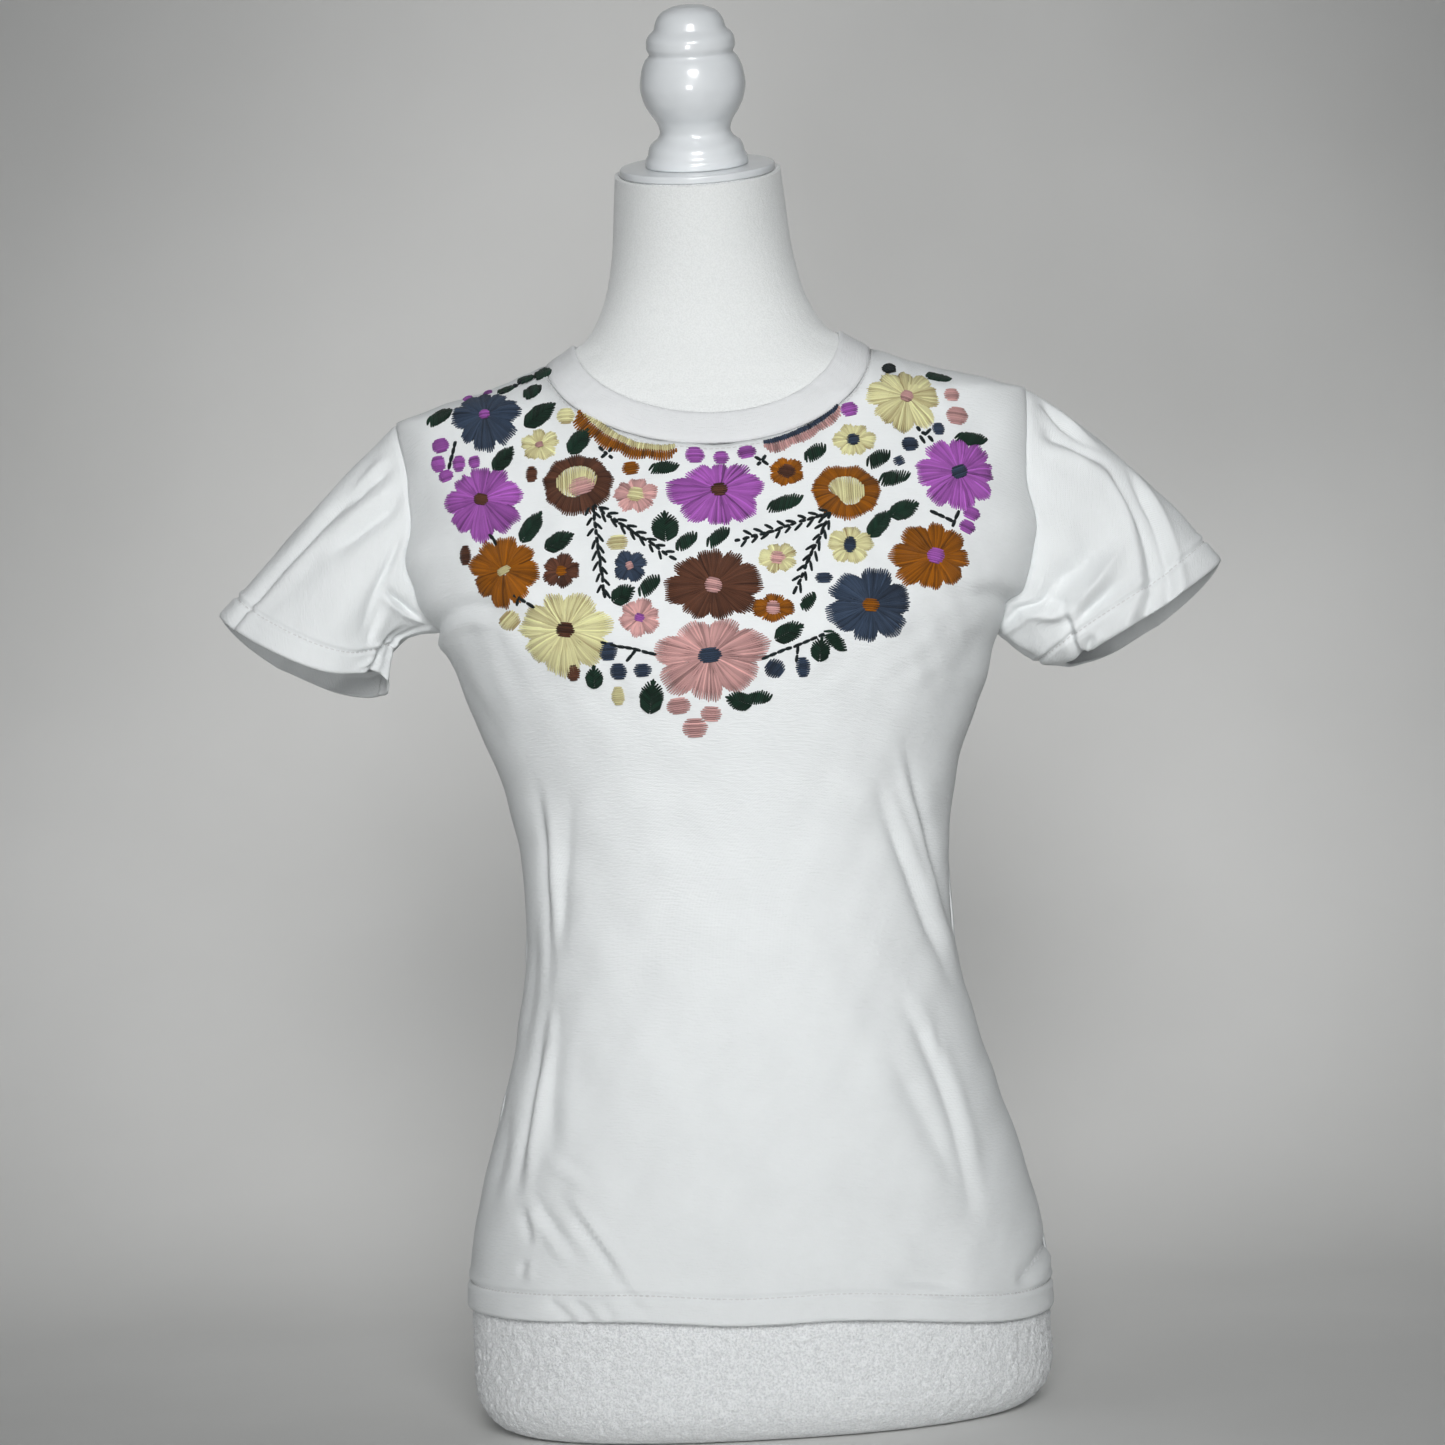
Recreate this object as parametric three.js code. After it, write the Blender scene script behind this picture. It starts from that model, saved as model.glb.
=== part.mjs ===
// Embroidered t-shirt worn by a limbless dress form, in millimetres.
// +Z is up, the form faces -Y and the wearer's left is +X.
// The origin is the centre of the form's flat foot.
// The shirt is cut as a front, a back, two sleeves and a neckband, each a thin wall of cloth.
import * as THREE from "three";

// ---------------------------------------------------------------- driving sizes
const JERSEY_WALL = 1.2;
const TURNED_HEM_WALL = 2.0; // the hem is turned up on the inside, so its wall is thicker there
const RIB_WALL = 1.8; // the neckband is rib folded double
const RIB_PROUD = 0.4; // it stands this far above the jersey beside it
const SEAM_GAP = 0.3;
const HEM_DEPTH = 16;
const HEM_STEP = 1.2; // the turned-up edge thickens the wall over this length
const MITRE_LIMIT = 0.3; // keeps the mitre of a sharp corner short

const HEM_Z = 67;
const UNDERARM_Z = 443;
const SAG_FROM = 0.15; // the middle of the panels hangs level, as a share of their width
const SAG_OVER = 0.6;
const FADE = 0.4; // a fold fades in and out over this share of its length
const FADE_BEYOND = 0.15; // beginning this far before its ends
const YOKE_Z = 420; // above here the panel's lines of cloth begin to fan out to the neckline
const SHOULDER_TIP_Z = 565;
const NECK_POINT_Z = 593; // where the shoulder seam meets the neckband
const NECK_FRONT_Z = 539;
const NECK_BACK_Z = 587;
const BAND_POINT_Z = 603; // the neckband's inner edge, at the side, front and back
const BAND_FRONT_Z = 556.5;
const BAND_BACK_Z = 605;
const NECK_SHIFT = 5; // the neckline sits this far towards the wearer's left at the front

const ARMHOLE_FRONT = 33; // how far the armhole reaches forwards and backwards
const ARMHOLE_BACK = 42;

const CUFF_TIP = { x: 280, z: 463 }; // the sleeve's hem, at its top fold and at the underarm
const CUFF_UNDERARM = { x: 190, z: 411 };
const CUFF_HALF_DEPTH = 43;
const CUFF_FORWARD = 10; // the hem's front edge is drawn up and its back edge hangs by this much
const CUFF_POINT = 1.75; // under 2, the section is pointed at both folds

const LIFT = 1.9; // the cloth's outer face above the shoulders it rests on
const LIFT_FROM_Z = 500; // the lift begins here and is whole at the shoulders
const LIFT_OVER = 60;
const NECK_TILT = THREE.MathUtils.degToRad(17);
const FOOT_ROUND = 28; // radius of the form's lower edge
const CAP_RADIUS = 43.2;
const CAP_THICK = 4;

const QUARTER = Math.PI / 2;

// ---------------------------------------------------------------- tables
const table = (names, rows) =>
  rows.map((row) => Object.fromEntries(names.map((name, i) => [name, row[i]])));

// The dress form, ring by ring: half width, reach forwards and backwards, and how square the ring is.
const FORM = table(
  ["z", "wide", "front", "back", "square"],
  [
    [0, 160.5, 99, 111, 2.25],
    [28, 160.5, 100, 112, 2.25],
    [70, 160, 101, 113, 2.25],
    [100, 156.5, 100, 112, 2.2],
    [140, 147, 96.5, 106, 2.2],
    [180, 134.5, 90, 96, 2.15],
    [220, 121, 84, 86, 2.1],
    [260, 113, 80.5, 79, 2.1],
    [290, 111.5, 80, 77.5, 2.1],
    [320, 114, 83, 79, 2.1],
    [350, 121, 90, 82.5, 2.15],
    [380, 131, 99.5, 87, 2.2],
    [410, 140, 108, 91, 2.25],
    [430, 145, 111.5, 93.5, 2.3],
    [450, 151, 107, 95, 2.4],
    [470, 158, 99.5, 95.5, 2.5],
    [500, 166, 85.5, 93.5, 2.6],
    [530, 170, 71.5, 87, 2.6],
    [550, 171.5, 62.5, 80, 2.5],
    [562.5, 171, 57.5, 74, 2.4],
    [566, 163, 56, 72, 2.3],
    [570, 150, 55, 70, 2.25],
    [576, 130, 53, 67, 2.2],
    [582, 111.5, 51.5, 64, 2.15],
    [589, 92.5, 49.5, 60, 2.1],
    [596, 78, 47.5, 56, 2.1],
    [603, 69.5, 46, 52.5, 2.05],
    [612, 62.2, 45.3, 48.5, 2],
    [630, 54.4, 46.5, 43, 2],
    [652, 49.8, 49, 38, 2],
    [673, 47.8, 52, 34.5, 2],
    [694.5, 46, 54.5, 31.5, 2],
  ],
);

// How far the shirt's outer face stands off the form at the side, the front and the back.
const EASE = table(
  ["z", "side", "front", "back"],
  [
    [50, 3, 6.5, 5.5],
    [100, 2.9, 5, 4.5],
    [145, 3, 4.5, 5],
    [190, 4.4, 5.5, 7.5],
    [230, 7, 7, 11.5],
    [290, 7.5, 9, 16],
    [330, 5.5, 8, 14],
    [365, 3.6, 5, 10.5],
    [400, 6, 3, 7],
    [425, 7.5, 3, 5],
    [445, 10, 3, 4.2],
    [480, 11, 3, 3.8],
    [530, 9.5, 3, 3.4],
    [565, 6, 3, 3],
    [573, 3, 2.8, 2.8],
    [605, 2.2, 2.2, 2.4],
    [625, 2.2, 2.2, 2.4],
  ],
);

// How far the cloth hangs below level on the wearer's left and right.
const SAG = table(
  ["z", "left", "right"],
  [
    [67, 12, 0],
    [200, 5, 0],
    [300, 0, 0],
    [445, 13, -3],
    [500, 5, 0],
    [565, 0, 0],
    [605, 0, 0],
  ],
);

// The body's largest folds: where each starts and ends as seen from its side, half width and height.
// A height under zero is a trough. Ends of nought fade out; whole ends run into a seam.
const FOLDS = table(
  ["panel", "x0", "z0", "x1", "z1", "half", "height"],
  [
    ["front", 78, 356, 124, 226, 11, -3.4],
    ["front", 93, 372, 124, 262, 9, 3.0],
    ["front", -104, 352, -112, 214, 10, -3.2],
    ["front", -100, 250, -128, 140, 10, 3.0],
    ["front", -152, 448, -112, 454, 9, -3.0],
    ["front", 152, 434, 108, 446, 9, -3.0],
    ["front", -112, 150, -70, 74, 9, 1.8],
    ["back", -92, 410, -64, 190, 13, -4.0],
    ["back", -58, 392, -38, 210, 13, 4.0],
    ["back", 90, 404, 66, 182, 13, -4.0],
    ["back", 56, 400, 34, 224, 13, 3.6],
    ["back", -150, 452, -104, 462, 10, -4.0],
    ["back", 150, 452, 104, 464, 10, -4.0],
  ],
);

// The sleeves' largest folds. around is the turn from the top fold (0) by the front (0.25) to the
// underarm (0.5), along runs from the armhole (0) to the hem (1), and half is a share of the turn.
const SLEEVE_FOLDS = table(
  ["side", "around0", "along0", "around1", "along1", "half", "height"],
  [
    [1, 0.05, 0.05, 0.2, 1.0, 0.045, -5.5],
    [1, 0.12, 0.25, 0.27, 1.0, 0.05, 4.5],
    [1, 0.4, 0.1, 0.3, 1.0, 0.05, -5.0],
    [1, 0.9, 0.1, 0.78, 1.0, 0.06, -4.0],
    [1, 0.66, 0.1, 0.7, 1.0, 0.06, 4.0],
    [-1, 0.1, 0.1, 0.1, 0.75, 0.04, -3.2],
    [-1, 0.19, 0.1, 0.26, 0.9, 0.05, -3.2],
    [-1, 0.4, 0.1, 0.35, 1.0, 0.05, -5.0],
    [-1, 0.88, 0.1, 0.8, 1.0, 0.06, -4.0],
    [-1, 0.64, 0.1, 0.7, 1.0, 0.06, 4.0],
  ],
);

// The finial's turned profile, from its foot to its top.
const FINIAL = table(
  ["up", "radius"],
  [
    [0, 28.6],
    [4.2, 28.6],
    [5.6, 27.2],
    [9.5, 26.4],
    [12.6, 24.8],
    [15, 21.5],
    [19, 19.6],
    [24, 21],
    [30, 24.9],
    [37, 28.1],
    [44, 29.3],
    [52, 28.2],
    [59, 25.4],
    [61.5, 23.2],
    [65, 24.6],
    [69, 24.4],
    [72.5, 22.6],
    [74.5, 20.2],
    [79.5, 18.6],
    [84, 15.4],
    [87, 9],
  ],
);

// How the sleeves' sides bow outwards between armhole and hem, at a turn round the sleeve.
const SLEEVE_BOW = table(
  ["side", "around", "height"],
  [
    [1, 0, 6],
    [1, 0.5, 5],
    [-1, 0, 1],
    [-1, 0.5, -15],
  ],
);

// Numbers of steps: cloth by panel, then the form.
const STEPS = {
  side: 13,
  armhole: 11,
  shoulder: 4,
  frontAcross: 26,
  backAcross: 24,
  sleeveAlong: 7,
  bandUp: 3,
  round: 32,
  foot: 4,
  turned: 20,
};

// ---------------------------------------------------------------- smooth curves through tables
// Returns one column of a table as a function of another. It is smooth and never overshoots.
function column(rows, from, to) {
  const x = rows.map((row) => row[from]);
  const y = rows.map((row) => row[to]);
  const last = x.length - 1;
  const rise = x.slice(1).map((_, i) => (y[i + 1] - y[i]) / (x[i + 1] - x[i]));
  const slope = x.map((_, i) => {
    if (i === 0) return rise[0];
    if (i === last) return rise[last - 1];
    const [a, b] = [rise[i - 1], rise[i]];
    return a * b > 0 ? (2 * a * b) / (a + b) : 0;
  });
  return (at) => {
    const here = Math.min(Math.max(at, x[0]), x[last]);
    const i = Math.min(Math.max(x.findIndex((v) => v > here) - 1, 0), last - 1);
    const k = here >= x[last] ? last - 1 : i;
    const h = x[k + 1] - x[k];
    const t = (here - x[k]) / h;
    return (
      y[k] * (1 + 2 * t) * (1 - t) ** 2 +
      slope[k] * h * t * (1 - t) ** 2 +
      y[k + 1] * t * t * (3 - 2 * t) +
      slope[k + 1] * h * t * t * (t - 1)
    );
  };
}

const columns = (rows, from, names) =>
  Object.fromEntries(names.map((name) => [name, column(rows, from, name)]));

const form = columns(FORM, "z", ["wide", "front", "back", "square"]);
const ease = columns(EASE, "z", ["side", "front", "back"]);
const sag = columns(SAG, "z", ["left", "right"]);
const smooth = (t) => {
  const k = Math.min(Math.max(t, 0), 1);
  return k * k * (3 - 2 * k);
};

// ---------------------------------------------------------------- the form's and the shirt's rings
// A point on a rounded, slightly square ring. Angle 0 is centre front, a quarter turn the wearer's left.
function onRing({ wide, front, back, square, z }, angle) {
  const [s, c] = [Math.sin(angle), Math.cos(angle)];
  const k = (Math.abs(s) ** square + Math.abs(c) ** square) ** (-1 / square);
  return new THREE.Vector3(wide * s * k, -(c > 0 ? front : back) * c * k, z);
}

function formRing(z) {
  const foot = Math.max(0, FOOT_ROUND - z);
  const inset = FOOT_ROUND - Math.sqrt(FOOT_ROUND ** 2 - foot ** 2);
  return {
    z,
    wide: form.wide(z) - inset,
    front: form.front(z) - inset,
    back: form.back(z) - inset,
    square: form.square(z),
  };
}

function shirtRing(z) {
  const under = z - LIFT * smooth((z - LIFT_FROM_Z) / LIFT_OVER);
  return {
    z,
    wide: form.wide(under) + ease.side(z),
    front: form.front(under) + ease.front(z),
    back: form.back(under) + ease.back(z),
    square: form.square(under),
  };
}

// The cloth's height over its own smooth shape at a point, from the folds that cross it.
function folded(point) {
  const panel = point.y < 0 ? "front" : "back";
  return FOLDS.filter((fold) => fold.panel === panel).reduce((sum, fold) => {
    const [dx, dz] = [fold.x1 - fold.x0, fold.z1 - fold.z0];
    const long = Math.hypot(dx, dz);
    const along = ((point.x - fold.x0) * dx + (point.z - fold.z0) * dz) / long ** 2;
    const across = ((point.x - fold.x0) * dz - (point.z - fold.z0) * dx) / long;
    const ends = smooth((along + FADE_BEYOND) / FADE) * smooth((1 + FADE_BEYOND - along) / FADE);
    return sum + fold.height * Math.exp(-((across / fold.half) ** 2)) * ends;
  }, 0);
}

// The shirt's outer face and its outward direction at an angle and a height.
function shirt(angle, z) {
  const at = (a, h) => onRing(shirtRing(h), a);
  const step = 1e-3;
  const along = at(angle + step, z).sub(at(angle - step, z));
  const up = at(angle, z + 0.5).sub(at(angle, z - 0.5));
  const out = along.cross(up).normalize();
  const base = at(angle, z);
  return { point: base.clone().addScaledVector(out, folded(base)), out };
}

// The angle at which a ring reaches a given distance forwards or backwards.
function angleAtDepth(ring, depth, backwards) {
  const share = Math.min(depth / (backwards ? ring.back : ring.front), 1);
  const across = (1 - share ** ring.square) ** (1 / ring.square);
  const angle = Math.atan2(across, share);
  return backwards ? Math.PI - angle : angle;
}

// The angle at which a ring reaches a given distance to the side.
function angleAtSide(ring, x) {
  const share = Math.min(Math.abs(x) / ring.wide, 1);
  const ahead = (1 - share ** ring.square) ** (1 / ring.square);
  return Math.sign(x) * Math.atan2(share, ahead);
}

// ---------------------------------------------------------------- seams, as angles and heights
// Lets the cloth hang. share runs from the wearer's right side seam (-1) to the left one (1).
function hung(share, z) {
  const side = share > 0 ? "left" : "right";
  return z - sag[side](z) * smooth((Math.abs(share) - SAG_FROM) / SAG_OVER);
}

// The side seam, then the armhole, then the shoulder seam: the edge that front and back share.
// level is the height before the cloth hangs, which both sides have in common.
function sideEdge(side, backwards) {
  const rows = [];
  const seam = (level) => rows.push({ level, angle: QUARTER });
  const bodyTop = HEM_Z + HEM_DEPTH;
  seam(HEM_Z);
  seam(bodyTop - HEM_STEP);
  for (let i = 0; i <= STEPS.side; i++) {
    seam(bodyTop + ((UNDERARM_Z - bodyTop) * i) / STEPS.side);
  }
  for (let i = 1; i < STEPS.armhole; i++) {
    rows.push(armholeEdge(side, (Math.PI * i) / STEPS.armhole, backwards));
  }
  for (let i = 0; i <= STEPS.shoulder; i++) {
    seam(SHOULDER_TIP_Z + ((NECK_POINT_Z - SHOULDER_TIP_Z) * i) / STEPS.shoulder);
  }
  return rows;
}

// The armhole's edge, turning from the underarm (0) to the shoulder tip (half a turn).
function armholeEdge(side, turn, backwards) {
  const middle = (UNDERARM_Z + SHOULDER_TIP_Z) / 2;
  const level = middle - ((SHOULDER_TIP_Z - UNDERARM_Z) / 2) * Math.cos(turn);
  const z = hung(side, level);
  const depth = (backwards ? ARMHOLE_BACK : ARMHOLE_FRONT) * Math.sin(turn);
  const angle = angleAtDepth(shirtRing(z), depth, backwards);
  return { level, z, angle: backwards ? Math.PI - angle : angle };
}

// A neckline as seen from the front or the back: half an ellipse from neck point to neck point.
function neckEdge(turn, pointZ, middleZ, backwards) {
  const lean = NECK_SHIFT * (backwards ? 0 : Math.cos(turn) ** 2);
  const z = middleZ + (pointZ - middleZ) * (1 - Math.cos(turn));
  const ring = shirtRing(z);
  const x = shirtRing(pointZ).wide * Math.sin(turn) + lean;
  const angle =
    Math.abs(turn) > QUARTER - 1e-6
      ? Math.sign(turn) * QUARTER
      : angleAtSide(ring, x);
  return { z, angle };
}

// Points spaced evenly along a path of angles and heights, n steps from end to end.
function evenly(path, n, backwards) {
  const fine = 160;
  const raw = Array.from({ length: fine + 1 }, (_, i) => path((2 * i) / fine - 1));
  const place = ({ angle, z }) =>
    onRing(shirtRing(z), backwards ? Math.PI - angle : angle);
  const spots = raw.map(place);
  const run = [0];
  spots.slice(1).forEach((spot, i) => run.push(run[i] + spot.distanceTo(spots[i])));
  return Array.from({ length: n + 1 }, (_, k) => {
    const want = (run[fine] * k) / n;
    const i = Math.max(1, run.findIndex((r) => r >= want - 1e-9));
    const t = (want - run[i - 1]) / (run[i] - run[i - 1]);
    return {
      angle: THREE.MathUtils.lerp(raw[i - 1].angle, raw[i].angle, t),
      z: THREE.MathUtils.lerp(raw[i - 1].z, raw[i].z, t),
    };
  });
}

// ---------------------------------------------------------------- walls of cloth
// A closed wall between two grids of points, [row][column]. As a tube, the last column joins the first.
function wall(outer, inner, tube = false) {
  const [rows, cols] = [outer.length, outer[0].length];
  const points = [...outer.flat(), ...inner.flat()];
  const index = [];
  const at = (face, row, col) => (face * rows + row) * cols + (col % cols);
  const quad = (a, b, c, d) => index.push(a, b, c, a, c, d);
  const spans = tube ? cols : cols - 1;
  const [top, right] = [rows - 1, cols - 1];
  for (let c = 0; c < spans; c++) {
    for (let r = 0; r < top; r++) {
      quad(at(0, r, c), at(0, r, c + 1), at(0, r + 1, c + 1), at(0, r + 1, c));
      quad(at(1, r, c), at(1, r + 1, c), at(1, r + 1, c + 1), at(1, r, c + 1));
    }
    quad(at(0, 0, c), at(1, 0, c), at(1, 0, c + 1), at(0, 0, c + 1));
    quad(at(0, top, c), at(0, top, c + 1), at(1, top, c + 1), at(1, top, c));
  }
  for (let r = 0; r < top && !tube; r++) {
    quad(at(0, r, 0), at(0, r + 1, 0), at(1, r + 1, 0), at(1, r, 0));
    quad(at(0, r, right), at(1, r, right), at(1, r + 1, right), at(0, r + 1, right));
  }
  const geometry = new THREE.BufferGeometry().setFromPoints(points);
  geometry.setIndex(index);
  geometry.computeVertexNormals();
  return geometry;
}

// Two cloths that meet at an angle share one mitred inward vector, for a wall one thick.
function mitre(outA, outB) {
  const both = outA.clone().add(outB);
  return both.multiplyScalar(-1 / Math.max(1 + outA.dot(outB), MITRE_LIMIT));
}

// The shortest move that leaves half the seam gap on each seam that meets at a point.
function clearance(away) {
  const half = SEAM_GAP / 2;
  const [a, b] = away;
  if (!b) return a.clone().multiplyScalar(half);
  const dot = a.dot(b);
  return a.clone().add(b).multiplyScalar(half / (1 + dot));
}

// Moves each of a seam's spots clear of it. away points from the seam into the piece.
function keepClear(spots) {
  spots.flat().forEach((spot) => {
    if (spot.away) spot.point.add(clearance(spot.away));
  });
}

const grids = (spots, thick) => [
  spots.map((row) => row.map(({ point }) => point)),
  spots.map((row, r) =>
    row.map(({ point, inward }) => point.clone().addScaledVector(inward, thick(r))),
  ),
];

// The armhole, from the shoulder tip by the front to the underarm and up the back.
// Each spot holds the wall's inward vector and the direction that leads into the sleeve.
function armholeSpots(side) {
  const cols = 2 * STEPS.armhole;
  const edge = Array.from({ length: cols }, (_, i) => {
    const backwards = i > STEPS.armhole;
    const turn = (2 * Math.PI * i) / cols;
    const half = backwards ? turn - Math.PI : Math.PI - turn;
    const { z, angle } = armholeEdge(side, half, backwards);
    const onLeft = backwards ? Math.PI - angle : angle;
    return shirt(side > 0 ? onLeft : -onLeft, z);
  });
  return edge.map(({ point, out }, i) => {
    const end = cuffPoint((2 * Math.PI * i) / cols);
    end.x *= side;
    const run = end.clone().sub(point).normalize();
    const along = edge[(i + 1) % cols].point.clone().sub(edge[(i + cols - 1) % cols].point);
    const sleeveOut = along.clone().cross(run).normalize().multiplyScalar(side);
    const inward = mitre(out, sleeveOut);
    const into = along.clone().cross(inward).normalize();
    into.multiplyScalar(Math.sign(into.dot(run)));
    return { point, end, inward, into };
  });
}

// Front or back: rows run level from side edge to side edge and rise into the neckline.
function bodyPanel(backwards, across) {
  const [left, right] = [sideEdge(1, backwards), sideEdge(-1, backwards)];
  const middleZ = backwards ? NECK_BACK_Z : NECK_FRONT_Z;
  const neck = (s) => neckEdge(s * QUARTER, NECK_POINT_Z, middleZ, backwards);
  const spots = left.map(({ level }, r) => {
    const upper = smooth((level - YOKE_Z) / (NECK_POINT_Z - YOKE_Z));
    const isTop = r === left.length - 1;
    const path = (s) => {
      const top = neck(s);
      const rise = (level - HEM_Z) / (NECK_POINT_Z - HEM_Z);
      const open = s * Math.abs(s) * ((s > 0 ? left : right)[r].angle - QUARTER);
      const angle = THREE.MathUtils.lerp(s * QUARTER, top.angle, upper) + open;
      return isTop ? top : { z: hung(s, HEM_Z + rise * (top.z - HEM_Z)), angle };
    };
    const row = evenly(path, across, backwards);
    return row.map(({ angle, z }) => shirt(backwards ? Math.PI - angle : angle, z));
  });
  spots.flat().forEach((spot) => {
    spot.inward = spot.out.clone().negate();
  });
  const toOwnSide = new THREE.Vector3(0, backwards ? 1 : -1, 0);
  const seamRows = spots.length;
  const armholeFrom = seamRows - 1 - STEPS.shoulder - STEPS.armhole;
  for (const [side, col] of [[1, across], [-1, 0]]) {
    const armhole = armholeSpots(side);
    for (let r = 0; r < seamRows; r++) {
      const k = r - armholeFrom;
      const onArmhole = k >= 0 && k <= STEPS.armhole;
      const onSeam = k <= 0 || k >= STEPS.armhole;
      const spot = spots[r][col];
      spot.away = onSeam ? [toOwnSide] : [];
      if (onArmhole) {
        const turns = STEPS.armhole - k;
        const met = armhole[backwards ? (2 * STEPS.armhole - turns) % (2 * STEPS.armhole) : turns];
        spot.point.copy(met.point);
        spot.inward = met.inward;
        spot.away.push(met.into.clone().negate());
      }
    }
  }
  const top = spots.at(-1);
  top.forEach((spot, c) => {
    const along = top[Math.min(c + 1, across)].point.clone().sub(top[Math.max(c - 1, 0)].point);
    const down = along.cross(spot.out).normalize();
    const below = spots.at(-2)[c].point.clone().sub(spot.point);
    down.multiplyScalar(Math.sign(down.dot(below)));
    spot.away = [...(spot.away ?? []), down];
  });
  keepClear(spots);
  const ordered = backwards ? spots.map((row) => [...row].reverse()) : spots;
  return wall(...grids(ordered, (r) => (r < 2 ? TURNED_HEM_WALL : JERSEY_WALL)));
}

// The sleeve's hem at a turn from its top fold: a pointed oval, drawn up at the front.
function cuffPoint(turn) {
  const [s, c] = [Math.sin(turn), Math.cos(turn)];
  const k = (Math.abs(s) ** CUFF_POINT + Math.abs(c) ** CUFF_POINT) ** (-1 / CUFF_POINT);
  const middle = new THREE.Vector3(
    (CUFF_TIP.x + CUFF_UNDERARM.x) / 2,
    0,
    (CUFF_TIP.z + CUFF_UNDERARM.z) / 2,
  );
  const rise = new THREE.Vector3(CUFF_TIP.x, 0, CUFF_TIP.z).sub(middle);
  const upSleeve = new THREE.Vector3(-rise.z, 0, rise.x).normalize();
  return middle
    .addScaledVector(rise, c * k)
    .addScaledVector(upSleeve, CUFF_FORWARD * s)
    .add(new THREE.Vector3(0, -CUFF_HALF_DEPTH * s * k, 0));
}

function sleeveFolded(side, around, along) {
  return SLEEVE_FOLDS.filter((fold) => fold.side === side).reduce((sum, fold) => {
    const t = (along - fold.along0) / (fold.along1 - fold.along0);
    const middle = THREE.MathUtils.lerp(fold.around0, fold.around1, smooth(t));
    const apart = Math.abs(around - middle);
    const across = Math.min(apart, 1 - apart);
    const ends = smooth(along / FADE) * smooth((t + FADE_BEYOND) / FADE);
    return sum + fold.height * Math.exp(-((across / fold.half) ** 2)) * ends;
  }, 0);
}

function sleeveBow(side, around, along) {
  return SLEEVE_BOW.filter((bow) => bow.side === side).reduce((sum, bow) => {
    const facing = Math.max(Math.cos(2 * Math.PI * (around - bow.around)), 0);
    return sum + bow.height * facing ** 2 * Math.sin(Math.PI * along);
  }, 0);
}

// side is 1 for the wearer's left and -1 for the right.
function sleeve(side) {
  const cols = 2 * STEPS.armhole;
  const lines = armholeSpots(side).map((start) => {
    const length = start.point.distanceTo(start.end);
    const hemAt = 1 - HEM_DEPTH / length;
    const shares = Array.from(
      { length: STEPS.sleeveAlong + 1 },
      (_, k) => (hemAt * k) / STEPS.sleeveAlong,
    );
    return { ...start, shares: [...shares, hemAt + HEM_STEP / length, 1] };
  });
  const rows = lines[0].shares.map((_, r) =>
    lines.map(({ point, end, shares }) => point.clone().lerp(end, shares[r])),
  );
  const spots = rows.map((row, r) =>
    row.map((point, i) => {
      const line = lines[i];
      if (r === 0) return { point, inward: line.inward, away: [line.into] };
      const along = row[(i + 1) % cols].clone().sub(row[(i + cols - 1) % cols]);
      const run = line.end.clone().sub(line.point);
      const out = along.cross(run).normalize().multiplyScalar(side);
      const [around, share] = [i / cols, line.shares[r]];
      const height = sleeveFolded(side, around, share) + sleeveBow(side, around, share);
      return { point: point.clone().addScaledVector(out, height), inward: out.negate() };
    }),
  );
  keepClear(spots);
  const ordered = side > 0 ? spots : spots.map((row) => [...row].reverse());
  const hemRow = STEPS.sleeveAlong + 1;
  return wall(...grids(ordered, (r) => (r < hemRow ? JERSEY_WALL : TURNED_HEM_WALL)), true);
}

// The ribbed band between the neckline and the neck, all round.
function neckband() {
  const edges = (pointZ, frontZ, backZ) => {
    const atFront = (s) => neckEdge(s * QUARTER, pointZ, frontZ, false);
    const atBack = (s) => neckEdge(s * QUARTER, pointZ, backZ, true);
    const front = evenly(atFront, STEPS.frontAcross, false);
    const back = evenly(atBack, STEPS.backAcross, true);
    const turned = back.reverse().map(({ z, angle }) => ({ z, angle: Math.PI - angle }));
    return [...front, ...turned.slice(1, -1)];
  };
  const lower = edges(NECK_POINT_Z, NECK_FRONT_Z, NECK_BACK_Z);
  const upper = edges(BAND_POINT_Z, BAND_FRONT_Z, BAND_BACK_Z);
  const cols = lower.length;
  const spots = Array.from({ length: STEPS.bandUp + 1 }, (_, r) =>
    lower.map((low, c) => {
      const t = r / STEPS.bandUp;
      const angle = THREE.MathUtils.lerp(low.angle, upper[c].angle, t);
      const { point, out } = shirt(angle, THREE.MathUtils.lerp(low.z, upper[c].z, t));
      return { point: point.addScaledVector(out, RIB_PROUD), inward: out.clone().negate() };
    }),
  );
  spots[0].forEach((spot, c) => {
    const along = spots[0][(c + 1) % cols].point.clone().sub(spots[0][(c + cols - 1) % cols].point);
    const up = along.cross(spot.inward).normalize();
    up.multiplyScalar(Math.sign(up.dot(spots[1][c].point.clone().sub(spot.point))));
    spot.away = [up];
  });
  keepClear(spots);
  return wall(...grids(spots, () => RIB_WALL), true);
}

// ---------------------------------------------------------------- the dress form
// The top of the neck leans forwards, so its rings tilt more and more above the collar.
function formPoint(angle, z) {
  const point = onRing(formRing(z), angle);
  const neckTop = FORM.at(-1);
  const share = smooth((z - BAND_POINT_Z) / (neckTop.z - BAND_POINT_Z));
  const middle = (neckTop.back - neckTop.front) / 2;
  point.z += (point.y - middle) * Math.tan(NECK_TILT) * share;
  return point;
}

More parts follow.
